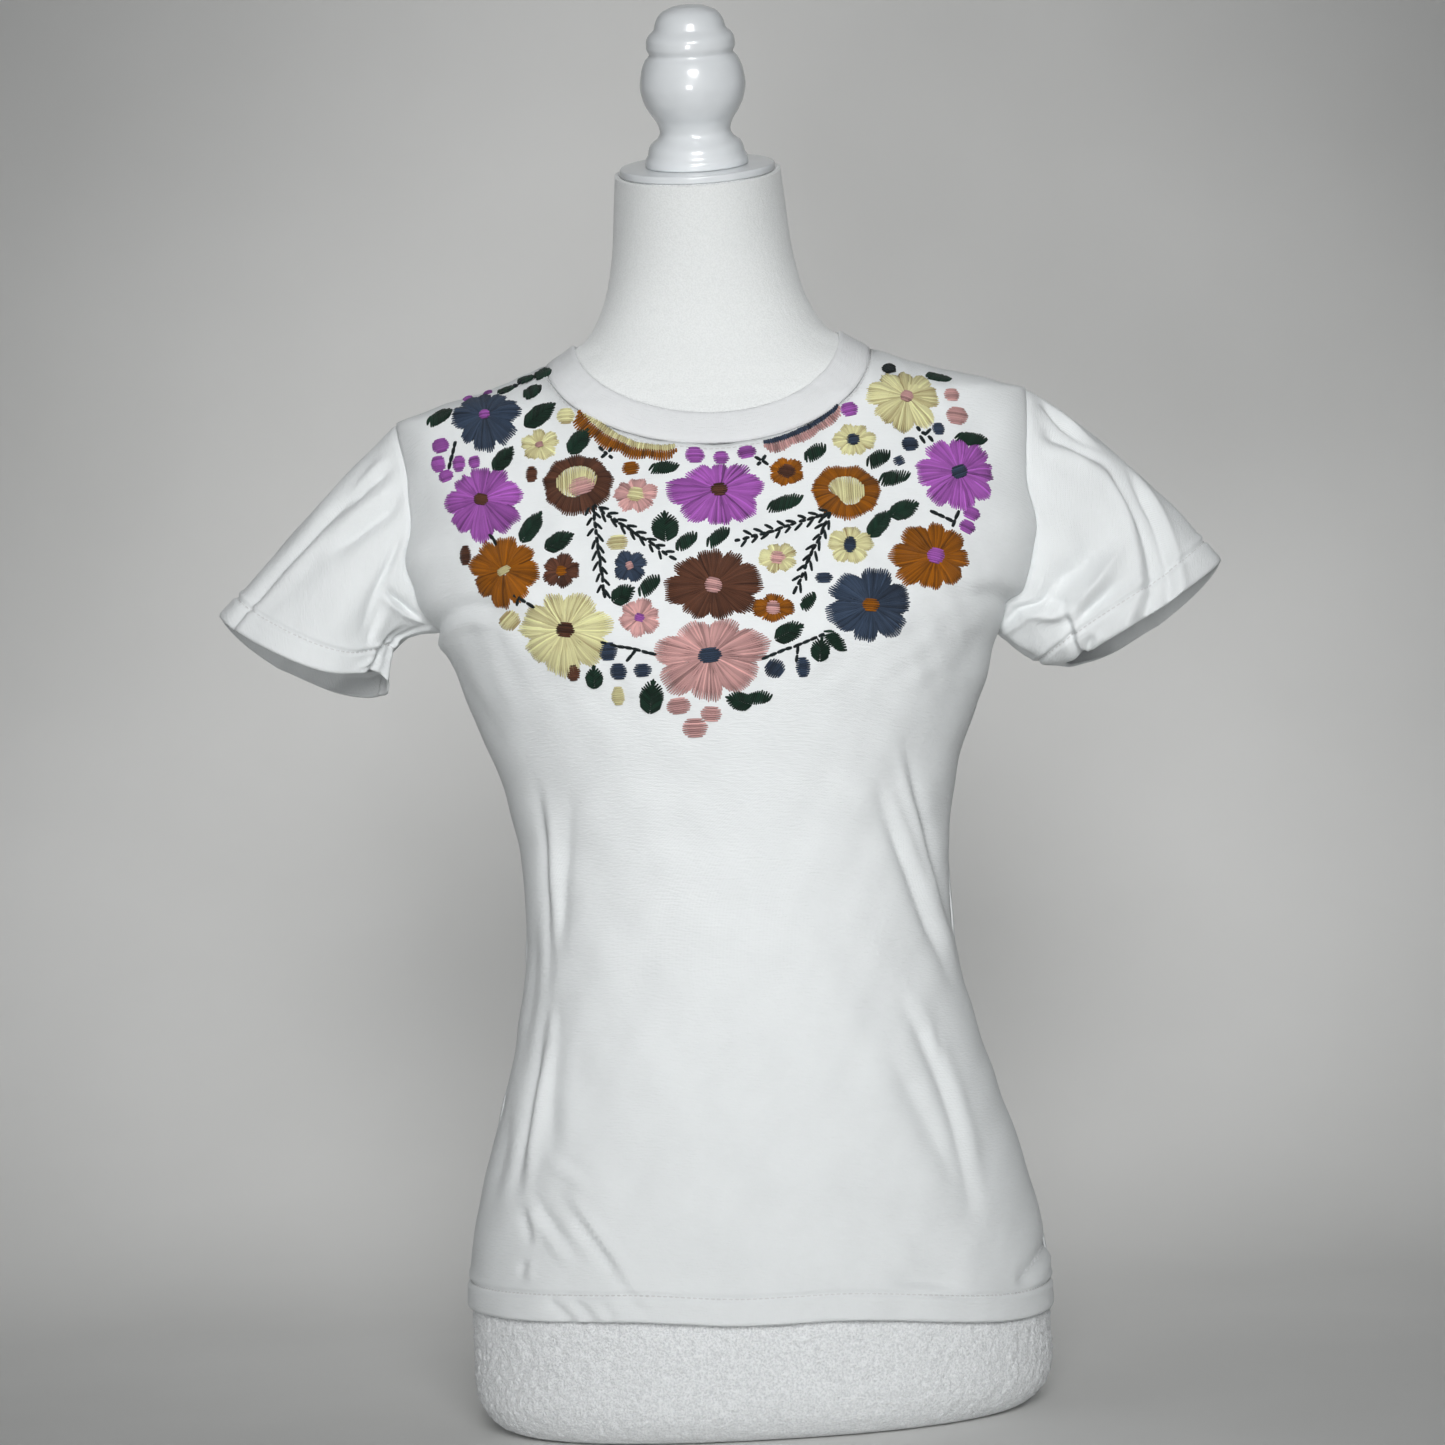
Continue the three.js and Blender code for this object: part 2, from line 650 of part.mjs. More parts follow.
function formBody() {
  const heights = [];
  for (let i = 0; i < STEPS.foot; i++) {
    heights.push(FOOT_ROUND * (1 - Math.cos((QUARTER * i) / STEPS.foot)));
  }
  FORM.filter(({ z }) => z >= FOOT_ROUND).forEach(({ z }) => heights.push(z));
  const rings = heights.map((z) =>
    Array.from({ length: STEPS.round }, (_, i) => formPoint((2 * Math.PI * i) / STEPS.round, z)),
  );
  const points = rings.flat();
  const cols = STEPS.round;
  const index = [];
  for (let r = 0; r < rings.length - 1; r++) {
    for (let c = 0; c < cols; c++) {
      const [a, b] = [r * cols + c, r * cols + ((c + 1) % cols)];
      index.push(a, b, b + cols, a, b + cols, a + cols);
    }
  }
  const topStart = (rings.length - 1) * cols;
  for (let c = 1; c < cols - 1; c++) {
    index.push(0, c + 1, c);
    index.push(topStart, topStart + c, topStart + c + 1);
  }
  const geometry = new THREE.BufferGeometry().setFromPoints(points);
  geometry.setIndex(index);
  geometry.computeVertexNormals();
  return geometry;
}

// A lathe turning of a profile, standing on its foot.
function turned(profile, segments) {
  const side = profile.map(({ up, radius }) => new THREE.Vector2(radius, up));
  const foot = new THREE.Vector2(0, profile[0].up);
  const top = new THREE.Vector2(0, profile.at(-1).up);
  return new THREE.LatheGeometry([foot, ...side, top], segments).rotateX(QUARTER);
}

const capProfile = table(
  ["up", "radius"],
  [
    [0, CAP_RADIUS - 0.8],
    [0.8, CAP_RADIUS],
    [CAP_THICK - 1, CAP_RADIUS],
    [CAP_THICK, CAP_RADIUS - 1],
  ],
);

// ---------------------------------------------------------------- materials and assembly
const jersey = new THREE.MeshStandardMaterial({ color: 0xeef0f1, roughness: 0.92, metalness: 0 });
const rib = new THREE.MeshStandardMaterial({ color: 0xebedef, roughness: 0.94, metalness: 0 });
const cover = new THREE.MeshStandardMaterial({ color: 0xe9ecec, roughness: 1, metalness: 0 });
const lacquer = new THREE.MeshStandardMaterial({ color: 0xf2f4f6, roughness: 0.22, metalness: 0 });

const part = new THREE.Group();

function piece(name, geometry, material, parent = part) {
  const mesh = new THREE.Mesh(geometry, material);
  mesh.name = name;
  parent.add(mesh);
  return mesh;
}

piece("front_panel", bodyPanel(false, STEPS.frontAcross), jersey);
piece("back_panel", bodyPanel(true, STEPS.backAcross), jersey);
piece("sleeve_left", sleeve(1), jersey);
piece("sleeve_right", sleeve(-1), jersey);
piece("neckband", neckband(), rib);
piece("form_body", formBody(), cover);

// The cap and finial sit square on the tilted neck.
const neckTop = new THREE.Group();
const neckTopRow = FORM.at(-1);
neckTop.position.set(0, (neckTopRow.back - neckTopRow.front) / 2, neckTopRow.z);
neckTop.rotation.x = NECK_TILT;
part.add(neckTop);
piece("neck_cap", turned(capProfile, STEPS.round), lacquer, neckTop).position.z = SEAM_GAP;
piece("finial", turned(FINIAL, STEPS.turned), lacquer, neckTop).position.z = CAP_THICK + 2 * SEAM_GAP;

export default part;
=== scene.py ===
# %% [markdown]
# # An embroidered t-shirt on a dress form
# The garment is a white cotton jersey t-shirt with a hand-stitched yoke of flowers, worn by a
# limbless dress form. Its solids were made first, to real sizes, and are loaded as a fixed frame:
# +Z is up, the shirt faces -Y, and lengths are in metres. This lesson dresses each solid with
# cloth, stitches and finishes. Surfaces are worked out in millimetres and turned into metres
# when a mesh is made, because a maker's sizes are easier to read that way.

# %% Load the frame
from collections import namedtuple

import bpy
import numpy as np
from mathutils import Matrix


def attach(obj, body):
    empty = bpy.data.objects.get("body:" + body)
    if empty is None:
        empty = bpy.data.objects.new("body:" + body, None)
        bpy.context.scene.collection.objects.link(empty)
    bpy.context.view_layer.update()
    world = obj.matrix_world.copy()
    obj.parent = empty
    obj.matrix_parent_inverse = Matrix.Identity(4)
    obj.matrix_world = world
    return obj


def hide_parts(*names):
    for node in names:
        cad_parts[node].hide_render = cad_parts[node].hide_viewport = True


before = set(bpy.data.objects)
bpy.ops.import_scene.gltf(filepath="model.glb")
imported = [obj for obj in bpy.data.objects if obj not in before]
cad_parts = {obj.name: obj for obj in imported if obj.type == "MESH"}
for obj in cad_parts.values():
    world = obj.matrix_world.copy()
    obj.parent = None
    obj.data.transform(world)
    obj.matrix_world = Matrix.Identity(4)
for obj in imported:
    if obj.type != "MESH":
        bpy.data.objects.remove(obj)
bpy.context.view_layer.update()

MM = 0.001
QUARTER = np.pi / 2
FRONT, BACK = -1, 1  # the sign of Y on each side of the shirt
RIGHT, LEFT = -1, 1  # the wearer's sides: the sign of X
chance = np.random.default_rng(11)

# %% [markdown]
# ## Small tools
# Everything on a garment changes smoothly from one measured height to the next. A short table
# holds the measurements, and a smooth curve through them gives the values between. Meshes are
# grids of points, so a few helpers are enough: curves, soft steps, lines and meshes from grids.

# %% Curves through tables
def table(names, rows):
    """One array for each named column."""
    return dict(zip(names.split(), np.array(rows, float).T))


def records(names, rows, defaults=()):
    """A list of rows whose values are read by name. Values left out at a row's end are defaults."""
    row = namedtuple("Row", names, defaults=defaults)
    return [row(*values) for values in rows]


def smooth(t):
    """A soft step from 0 to 1: three t squared less two t cubed."""
    t = np.clip(t, 0, 1)
    return t * t * (3 - 2 * t)


def bell(apart, wide):
    """A bell curve of a distance: e to the minus square of the distance over the width."""
    return np.exp(-(apart / wide) ** 2)


def lerp(a, b, t):
    """The value a share t of the way from a to b."""
    return a + (b - a) * t


def curve(rows, name, at):
    """A column of a table at any height: cubic pieces whose slope at each row is the harmonic
    mean of the slopes beside it, and level at a peak, so that the curve never overshoots."""
    x, y = rows["z"], rows[name]
    at = np.clip(at, x[0], x[-1])
    rise = np.diff(y) / np.diff(x)
    before, after = rise[:-1], rise[1:]
    total = np.where(before * after > 0, before + after, 1)
    inner = np.where(before * after > 0, 2 * before * after / total, 0)
    slope = np.r_[rise[0], inner, rise[-1]]
    i = np.clip(np.searchsorted(x, at, side="right") - 1, 0, len(x) - 2)
    long = x[i + 1] - x[i]
    t = (at - x[i]) / long
    starts = y[i] * (1 + 2 * t) * (1 - t) ** 2 + slope[i] * long * t * (1 - t) ** 2
    ends = y[i + 1] * t * t * (3 - 2 * t) + slope[i + 1] * long * t * t * (t - 1)
    return starts + ends


print("soft step a quarter of the way", smooth(0.25))

# %% Lines and rings
def unit(vectors):
    """Vectors of length one."""
    return vectors / np.maximum(np.linalg.norm(vectors, axis=-1, keepdims=True), 1e-12)


def run_along(points, axis=0):
    """How far each point is from the first one of its line, along this axis of a grid."""
    run = np.linalg.norm(np.diff(points, axis=axis), axis=-1).cumsum(axis)
    return np.pad(run, [(int(i == axis), 0) for i in range(run.ndim)])


def bent_line(start, middle, end, t):
    """Points on the parabola from start through middle to end, at shares t of the way."""
    t = t[:, None]
    bend = 2 * middle - (start + end) / 2
    return start * (1 - t) ** 2 + bend * 2 * t * (1 - t) + end * t ** 2


def eased(count):
    """Shares from 0 to 1 that lie closer near both ends: half of one less a cosine."""
    return (1 - np.cos(np.linspace(0, np.pi, count))) / 2


def between(count):
    """Even shares strictly between -1 and 1."""
    return np.linspace(-1, 1, count + 2)[1:-1]


def squared(s, c, square):
    """How far out a slightly square ring of size one is, at a turn with sine s and cosine c: one
    over the power mean of their sizes."""
    return (np.abs(s) ** square + np.abs(c) ** square) ** (-1 / square)


def on_ring(facing, wide, reach, square, turn, z):
    """A point on a ring: sine and cosine of the turn from the middle line, each as far out as
    the ring's squareness says, times the half width and the reach."""
    s, c = np.sin(turn), np.cos(turn)
    k = squared(s, c, square)
    return np.stack(np.broadcast_arrays(wide * s * k, facing * reach * c * k, z), -1)


circle = on_ring(BACK, 1, 1, 2, np.linspace(0, 2 * np.pi, 361), 0)
print("round a circle of radius one", round(run_along(circle)[-1], 3))

# %% Meshes from grids of points
def grid_faces(rows, cols, around=False):
    """Faces between neighbours of a grid, row by row. Round a tube, the last column meets the first."""
    spans = cols if around else cols - 1
    r, c = np.meshgrid(np.arange(rows - 1), np.arange(spans), indexing="ij")
    here, beside = r * cols + c, r * cols + (c + 1) % cols
    return np.stack([here, beside, beside + cols, here + cols], -1).reshape(-1, 4)


def wall_faces(rows, cols, around=False):
    """Faces of a closed wall: the outer grid, the inner grid turned over, and the rims between."""
    outer = grid_faces(rows, cols, around)
    inner = outer[:, ::-1] + rows * cols
    c = np.arange(cols if around else cols - 1)
    step = (c + 1) % cols
    below = np.stack([c, c + rows * cols, step + rows * cols, step], -1)
    top = (rows - 1) * cols
    above = np.stack([c + top, step + top, step + top + rows * cols, c + top + rows * cols], -1)
    sides = [outer, inner, below, above]
    if not around:
        r = np.arange(rows - 1) * cols
        far = r + cols - 1
        more = rows * cols
        sides.append(np.stack([r, r + cols, r + cols + more, r + more], -1))
        sides.append(np.stack([far, far + more, far + cols + more, far + cols], -1))
    return np.concatenate(sides)


def new_object(name, points, faces, material):
    """A smooth mesh of points in metres, in an object at the origin."""
    mesh = bpy.data.meshes.new(name)
    mesh.from_pydata(points.reshape(-1, 3).tolist(), [], faces.tolist())
    mesh.polygons.foreach_set("use_smooth", np.ones(len(mesh.polygons), bool))
    mesh.materials.append(material)
    made = bpy.data.objects.new(name, mesh)
    bpy.context.scene.collection.objects.link(made)
    return made


def make_piece(name, points, faces, material, slot, nodes=(), plan=None, marks=None):
    """A piece of the object, riding on the root body. points are in millimetres, plan is the
    place of each point on the flat cloth, and marks are more numbers for each point."""
    piece = new_object(name, points * MM, faces, material)
    mesh = piece.data
    corner = np.empty(len(mesh.loops), int)
    mesh.loops.foreach_get("vertex_index", corner)
    if plan is not None:
        layer = mesh.uv_layers.new(name="cloth")
        layer.data.foreach_set("uv", plan.reshape(-1, 2)[corner].ravel())
    for title, values in (marks or {}).items():
        mark = mesh.attributes.new(title, "FLOAT", "POINT")
        mark.data.foreach_set("value", values.ravel().astype(np.float32))
    mesh.update()
    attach(piece, "root")
    if nodes:
        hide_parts(*nodes)
    print(name, "triangles", len(faces) * (faces.shape[1] - 2))
    return piece


print("a wall of 3 by 4 points has", len(wall_faces(3, 4)), "faces")

# %% [markdown]
# ## Camera
# The shirt is seen straight from the front, from about two metres, with a long lens, so it is
# nearly free of perspective. The camera is rolled a little: the form leans to the left of the frame.

# %% Camera
LENS = 92.2
SENSOR = 36
EYE = np.array([-3.2, -2072, 388])
ROLL = np.radians(3.2)

camera_data = bpy.data.cameras.new("camera")
camera_data.lens = LENS
camera_data.sensor_width = SENSOR
camera = bpy.data.objects.new("camera", camera_data)
bpy.context.scene.collection.objects.link(camera)
across_view = (np.cos(ROLL), 0, -np.sin(ROLL))
up_view = (np.sin(ROLL), 0, np.cos(ROLL))
turned = Matrix((across_view, up_view, (0, -1, 0))).transposed()
camera.matrix_world = Matrix.Translation(EYE * MM) @ turned.to_4x4()
bpy.context.scene.camera = camera
print("wide in view at the shirt", round(-EYE[1] * SENSOR / LENS), "mm")

# %% [markdown]
# ## The form and the shirt as rings
# A dress form is turned like a column: at each height a rounded ring has a half width, a reach
# forwards and backwards, and a squareness. The shirt hangs on it, so its rings are the form's
# rings made larger by the ease, the room between body and cloth. These are the same sizes as
# the solids have, so the cloth made here lies where they are.

# %% The dress form's rings
FORM = table("z wide front back square", [
    (0, 160.5, 99, 111, 2.25),
    (28, 160.5, 100, 112, 2.25),
    (70, 160, 101, 113, 2.25),
    (100, 156.5, 100, 112, 2.2),
    (140, 147, 96.5, 106, 2.2),
    (180, 134.5, 90, 96, 2.15),
    (220, 121, 84, 86, 2.1),
    (260, 113, 80.5, 79, 2.1),
    (290, 111.5, 80, 77.5, 2.1),
    (320, 114, 83, 79, 2.1),
    (350, 121, 90, 82.5, 2.15),
    (380, 131, 99.5, 87, 2.2),
    (410, 140, 108, 91, 2.25),
    (430, 145, 111.5, 93.5, 2.3),
    (450, 151, 107, 95, 2.4),
    (470, 158, 99.5, 95.5, 2.5),
    (500, 166, 85.5, 93.5, 2.6),
    (530, 170, 71.5, 87, 2.6),
    (550, 171.5, 62.5, 80, 2.5),
    (562.5, 171, 57.5, 74, 2.4),
    (566, 163, 56, 72, 2.3),
    (570, 150, 55, 70, 2.25),
    (576, 130, 53, 67, 2.2),
    (582, 111.5, 51.5, 64, 2.15),
    (589, 92.5, 49.5, 60, 2.1),
    (596, 78, 47.5, 56, 2.1),
    (603, 69.5, 46, 52.5, 2.05),
    (612, 62.2, 45.3, 48.5, 2),
    (630, 54.4, 46.5, 43, 2),
    (652, 49.8, 49, 38, 2),
    (673, 47.8, 52, 34.5, 2),
    (694.5, 46, 54.5, 31.5, 2),
])
EASE = table("z side front back", [
    (50, 3, 6.5, 5.5),
    (100, 2.9, 5, 4.5),
    (145, 3, 4.5, 5),
    (190, 4.4, 5.5, 7.5),
    (230, 7, 7, 11.5),
    (290, 7.5, 9, 16),
    (330, 5.5, 8, 14),
    (365, 3.6, 5, 10.5),
    (400, 6, 3, 7),
    (425, 7.5, 3, 5),
    (445, 10, 3, 4.2),
    (480, 11, 3, 3.8),
    (530, 9.5, 3, 3.4),
    (565, 6, 3, 3),
    (573, 3, 2.8, 2.8),
    (605, 2.2, 2.2, 2.4),
    (625, 2.2, 2.2, 2.4),
])
SAG = table("z left right", [
    (67, 12, -4.5),
    (200, 5, 0),
    (300, 0, 0),
    (445, 13, -3),
    (500, 5, 0),
    (565, 0, 0),
    (605, 0, 0),
])
SAG_FROM = {RIGHT: 0, LEFT: 0.15}
SAG_OVER = {RIGHT: 0.36, LEFT: 0.6}
LIFT, LIFT_FROM_Z, LIFT_OVER = 1.9, 500, 60
HEM_Z, HEM_DEPTH = 67, 14.8
HEM_FINE = 21  # the rows of the grid are close together up to here
UNDERARM_Z, SHOULDER_TIP_Z, YOKE_Z = 443, 565, 420
NECK_POINT_Z, NECK_FRONT_Z, NECK_BACK_Z = 593, 539, 587
BAND_POINT_Z, BAND_FRONT_Z, BAND_BACK_Z = 603, 556.5, 605
NECK_SHIFT = 5
ARMHOLE_REACH = {FRONT: 33, BACK: 42}


def shirt_ring(panel, z):
    """Half width, reach and squareness of the shirt's outer face: the form's ring a little
    lower down, because the cloth rests on the shoulders, plus the ease."""
    under = z - LIFT * smooth((z - LIFT_FROM_Z) / LIFT_OVER)
    side = "front" if panel == FRONT else "back"
    wide = curve(FORM, "wide", under) + curve(EASE, "side", z)
    reach = curve(FORM, side, under) + curve(EASE, side, z)
    return wide, reach, curve(FORM, "square", under)


def shirt_point(panel, turn, z):
    """The smooth shirt's outer face at a turn from the middle line and a height."""
    return on_ring(panel, *shirt_ring(panel, z), turn, z)


def outward(panel, turn, z):
    """The direction out of the cloth: across it cross up it."""
    across = shirt_point(panel, turn + 1e-3, z) - shirt_point(panel, turn - 1e-3, z)
    up = shirt_point(panel, turn, z + 0.5) - shirt_point(panel, turn, z - 0.5)
    return unit(-panel * np.cross(across, up))


def turn_at_side(panel, x, z):
    """The turn at which the shirt's ring is x from the middle."""
    wide, _, square = shirt_ring(panel, z)
    share = np.minimum(np.abs(x) / wide, 1)
    ahead = (1 - share ** square) ** (1 / square)
    return np.sign(x) * np.arctan2(share, ahead)


for place, height in (("hem", HEM_Z), ("waist", 290), ("bust", YOKE_Z)):
    halves = [shirt_point(panel, np.linspace(-QUARTER, QUARTER, 181), height) for panel in (FRONT, BACK)]
    print("shirt round at the", place, round(sum(run_along(half)[-1] for half in halves)), "mm")

# %% [markdown]
# ## Creases
# Jersey is soft, so it creases where it is drawn in: from the underarms to the bust, and down
# the sides where it skims the waist. A cloth simulation would give creases of its own, in other
# places, so these are placed one by one: each is a curve through three points on the cloth, a half
# width and a depth, with a soft ridge beside it where the spare cloth gathers. A row runs from
# the top down, or from the wearer's right to the left. Its ends fade out, unless the last two
# numbers of a row open them: an end marked 1 runs whole into a seam or hem.

# %% Creases of the front and back
def creases(rows):
    """Rows of creases: three places on the cloth, a half width, a height, how high the ridge is
    as a share of that and on which side, and whether each end is open."""
    return records("a0 b0 a1 b1 a2 b2 half height ridge open0 open1", rows, (0, 0))


FRONT_CREASES = creases([
    (-107, 369, -105, 307, -108, 238, 3.2, -3.2, 0.5),
    (-86, 362, -95, 300, -105, 246, 4.2, -2.4, -0.4),
    (-107, 244, -121, 184, -132, 131, 3.6, -3.6, 0.8),
    (-99, 236, -107, 190, -108, 156, 5, -1.8, 0.3),
    (-108, 238, -106, 229, -110, 222, 2.4, 0.9, 0.5),
    (-112, 300, -117, 244, -129, 196, 3.2, -1.3, 0.4),
    (-132, 186, -138, 156, -146, 128, 4, -1.8, 0.5),
    (-115, 158, -100, 150, -84, 137, 2.8, 2.2, 0.5),
    (-104, 143, -84, 117, -62, 82, 2.8, 3.2, -0.8, 0, 0.3),
    (-122, 140, -109, 120, -92, 101, 2.9, -3.2, -0.6),
    (-128, 131, -125, 121, -123, 109, 2.8, -2.2, 0.5),
    (-126, 105, -128, 99, -130, 93, 3.0, -1.7, 0.6),
    (-116, 84, -108, 78, -101, 70, 2.6, -1.7, 0.6, 0, 1),
    (-103, 84, -95, 78, -88, 70, 2.6, -1.3, 0.6, 0, 1),
    (-86, 84, -82, 78, -80, 70, 2.6, -1.1, 0.5, 0, 1),
    (-160, 447, -136, 458, -98, 445, 4.6, -3.2, -0.6, 1),
    (-152, 432, -136, 404, -120, 366, 9, -1.8, 0.3),
    (-168, 470, -150, 486, -128, 494, 7, -0.9, 0.2, 1),
    (93, 380, 107, 318, 126, 240, 3.3, -3.6, -0.7),
    (75, 358, 95, 296, 119, 224, 3.5, -3.6, 0.6),
    (76, 244, 105, 184, 118, 98, 4.2, -2.8, 0.5),
    (72, 214, 94, 168, 112, 122, 6, -2.0, 0.3),
    (100, 218, 101, 208, 105, 197, 2.6, 1.1, 0.6),
    (160, 88, 149, 80, 138, 73, 4, -3.2, 0.4, 1),
    (66, 90, 90, 83, 114, 77, 4.5, -2.4, -0.5),
    (47, 109, 65, 99, 84, 91, 5, -0.9, 0.5),
    (77, 121, 82, 110, 93, 99, 5, -0.9, 0.5),
    (-100, 229, -20, 225, 62, 230, 13, -0.5, 0.2),
    (-60, 100, -20, 92, 26, 97, 7, -0.7, 0.4),
    (168, 438, 148, 449, 122, 448, 4.8, -3.2, -0.6, 1),
    (160, 424, 140, 420, 122, 404, 8, -1.5, 0.3),
    (150, 400, 138, 366, 126, 330, 9, -1.0, 0.3),
    (-30, 396, -34, 350, -30, 300, 22, -0.5, 0.0),
    (36, 398, 40, 356, 40, 310, 22, -0.5, 0.0),
    (-174, 562, -170, 522, -168, 490, 20, -3.2, 0),
    (-171, 502, -168, 474, -160, 444, 17, 4, 0),
    (171, 516, 166, 474, 157, 432, 21, 7.5, 0),
])
BACK_CREASES = creases([
    (-92, 410, -84, 300, -64, 190, 12, -3.6, 0.5),
    (-58, 392, -54, 300, -38, 210, 12, 3.4, 0.0),
    (90, 404, 84, 300, 66, 182, 12, -3.6, -0.5),
    (56, 400, 52, 310, 34, 224, 12, 3.0, 0.0),
    (-158, 450, -132, 462, -100, 464, 9, -3.4, 0.5, 1),
    (158, 450, 134, 461, 102, 464, 9, -3.4, 0.5, 1),
    (-148, 434, -120, 420, -104, 380, 10, -1.8, 0.4),
    (146, 430, 122, 412, 108, 372, 10, -1.6, 0.4),
    (-108, 300, -60, 286, -16, 290, 9, -1.3, 0.5),
    (12, 262, 56, 258, 104, 276, 9, -1.2, 0.5),
    (-112, 240, -80, 170, -76, 110, 10, -1.3, 0.4),
    (116, 232, 92, 176, 96, 104, 10, -1.2, 0.4),
    (-60, 100, -58, 84, -57, 67, 7, -0.8, 0.4, 0, 1),
    (40, 104, 43, 86, 44, 67, 7, -0.8, 0.4, 0, 1),
    (-20, 560, -4, 500, -8, 450, 20, -0.6, 0.0),
])
CREASE_STEPS = 14
CREASE_FADE = 0.38
RIDGE_AT, RIDGE_SPREAD = 1.7, 0.95
CREASE_EDGE = 1.5  # less than 2 gives a trough a crisp bottom


def crease_relief(a, b, rows, scale=(1, 1), period=None):
    """Height over the smooth cloth of all creases at places (a, b). Each crease is a parabola
    through its three points, times the scale. Across it the height is a bell curve of distance
    over half width, less a wider bell to one side, the ridge. Along it the height fades at ends
    that aren't open. Round a tube, places repeat after the period."""
    total = np.zeros(np.shape(a))
    for row in rows:
        ends = [np.array(row[i:i + 2]) * scale for i in (0, 2, 4)]
        path = bent_line(*ends, np.linspace(0, 1, CREASE_STEPS + 1))
        step = np.diff(path, axis=0)
        da = a[..., None] - path[:-1, 0]
        if period:
            da = (da + period / 2) % period - period / 2
        db = b[..., None] - path[:-1, 1]
        long = (step ** 2).sum(1)
        share = np.clip((da * step[:, 0] + db * step[:, 1]) / long, 0, 1)
        apart = np.hypot(da - share * step[:, 0], db - share * step[:, 1])
        nearest = apart.argmin(-1)[..., None]
        side = np.sign(step[:, 0] * db - step[:, 1] * da)
        signed = np.take_along_axis(side * apart, nearest, -1)[..., 0] / row.half
        along = (np.arange(CREASE_STEPS) + share) / CREASE_STEPS
        along = np.take_along_axis(along, nearest, -1)[..., 0]
        whole = np.maximum(smooth(along / CREASE_FADE), row.open0)
        whole = whole * np.maximum(smooth((1 - along) / CREASE_FADE), row.open1)
        lean = np.sign(row.ridge) or 1
        ridge = np.abs(row.ridge) * bell(signed * lean - RIDGE_AT, RIDGE_SPREAD)
        total += row.height * (np.exp(-np.abs(signed) ** CREASE_EDGE) - ridge) * whole
    return total


print("creases of the front", len(FRONT_CREASES), "of the back", len(BACK_CREASES))

# %% Soft unevenness
WAVES = table("long_a long_b phase height", [
    (61, 143, 0.4, 0.30),
    (47, -88, 2.1, 0.24),
    (29, 71, 4.0, 0.16),
    (-37, 52, 1.2, 0.16),
    (19, -43, 3.3, 0.09),
    (83, 31, 5.1, 0.14),
])
PANEL_SHIFT, SLEEVE_SHIFT = 40, 17  # each piece of cloth reads another part of the waves
PUCKERS = table("long_a long_b phase height", [
    (17, 41, 0.9, 0.16),
    (-23, 19, 2.7, 0.14),
    (39, -15, 4.4, 0.12),
    (14, 62, 1.6, 0.08),
])
YOKE_HALF, YOKE_FROM_Z, PUCKER_FADE = 152, 392, 16


def waviness(a, b, waves=WAVES):
    """The slight unevenness of worn jersey: a few slanting waves added together."""
    turns = a[..., None] / waves["long_a"] + b[..., None] / waves["long_b"]
    return (waves["height"] * np.sin(2 * np.pi * turns + waves["phase"])).sum(-1)


def puckers(x, z):
    """Close stitches shrink the cloth under them, so that it puckers between motifs."""
    across = smooth((YOKE_HALF - np.abs(x)) / PUCKER_FADE)
    return waviness(x, z, PUCKERS) * (across * smooth((z - YOKE_FROM_Z) / PUCKER_FADE))


def body_relief(panel, turn, z):
    """Creases and unevenness of the front or back at a turn and height."""
    x = shirt_point(panel, turn, z)[..., 0]
    z = np.broadcast_to(z, x.shape)
    rows, drawn = (FRONT_CREASES, puckers(x, z)) if panel == FRONT else (BACK_CREASES, 0)
    return crease_relief(x, z, rows) + waviness(x, z + PANEL_SHIFT * panel) + drawn


def body_cloth(panel, turn, z):
    """The creased cloth's outer face, and the direction out of it."""
    out = outward(panel, turn, z)
    return shirt_point(panel, turn, z) + out * body_relief(panel, turn, z)[..., None], out


print("waves up to", round(WAVES["height"].sum(), 2), "mm, puckers", round(PUCKERS["height"].sum(), 2))

# %% [markdown]
# ## Fabric finishes
# Cotton jersey is a fine knit: columns of small loops that catch the light as a soft grain, with
# slightly thicker and thinner yarns. It is matt with a little sheen at grazing angles. The grain
# follows the cloth, so it is read from each piece's own flat plan, in metres of cloth. The
# neckband is knitted in ribs, and the form's cover is a looser, fuzzier stretch cloth.

# %% Nodes for finishes
def new_finish(name, colour, plain):
    """A new material, its nodes and its shader, whose plain numbers are set on the shader itself."""
    finish = bpy.data.materials.new(name)
    finish.use_nodes = True
    shader = finish.node_tree.nodes["Principled BSDF"]
    for title, value in {"Base Color": (*colour, 1), **plain}.items():
        shader.inputs[title].default_value = value
    return finish, finish.node_tree, shader


def add_node(tree, kind, plain=(), **sources):
    """A new node, with plain values on some of its inputs and links into others."""
    node = tree.nodes.new("ShaderNode" + kind)
    for name, value in dict(plain).items():
        node.inputs[name].default_value = value
    for name, source in sources.items():
        tree.links.new(source, node.inputs[name])
    return node


def place_on(tree, source, scale=(1, 1, 1)):
    """The flat plan ("UV") or the solid place ("Object") of a point, scaled along each axis."""
    where = add_node(tree, "TexCoord").outputs[source]
    return add_node(tree, "Mapping", {"Scale": scale}, Vector=where).outputs["Vector"]


def noise(tree, where, scale, detail=2.0, roughness=0.5):
    """Cloudy noise, scale lumps to a metre."""
    plain = {"Scale": scale, "Detail": detail, "Roughness": roughness}
    return add_node(tree, "TexNoise", plain, Vector=where).outputs["Fac"]


def stripes(tree, where, scale, direction="X"):
    """Smooth stripes across the cloth, scale turns to a metre of the wave, a little uneven."""
    plain = {"Scale": scale, "Distortion": 0.6, "Detail Scale": 1.5}
    wave = add_node(tree, "TexWave", plain, Vector=where)
    wave.bands_direction = direction
    return wave.outputs["Fac"]


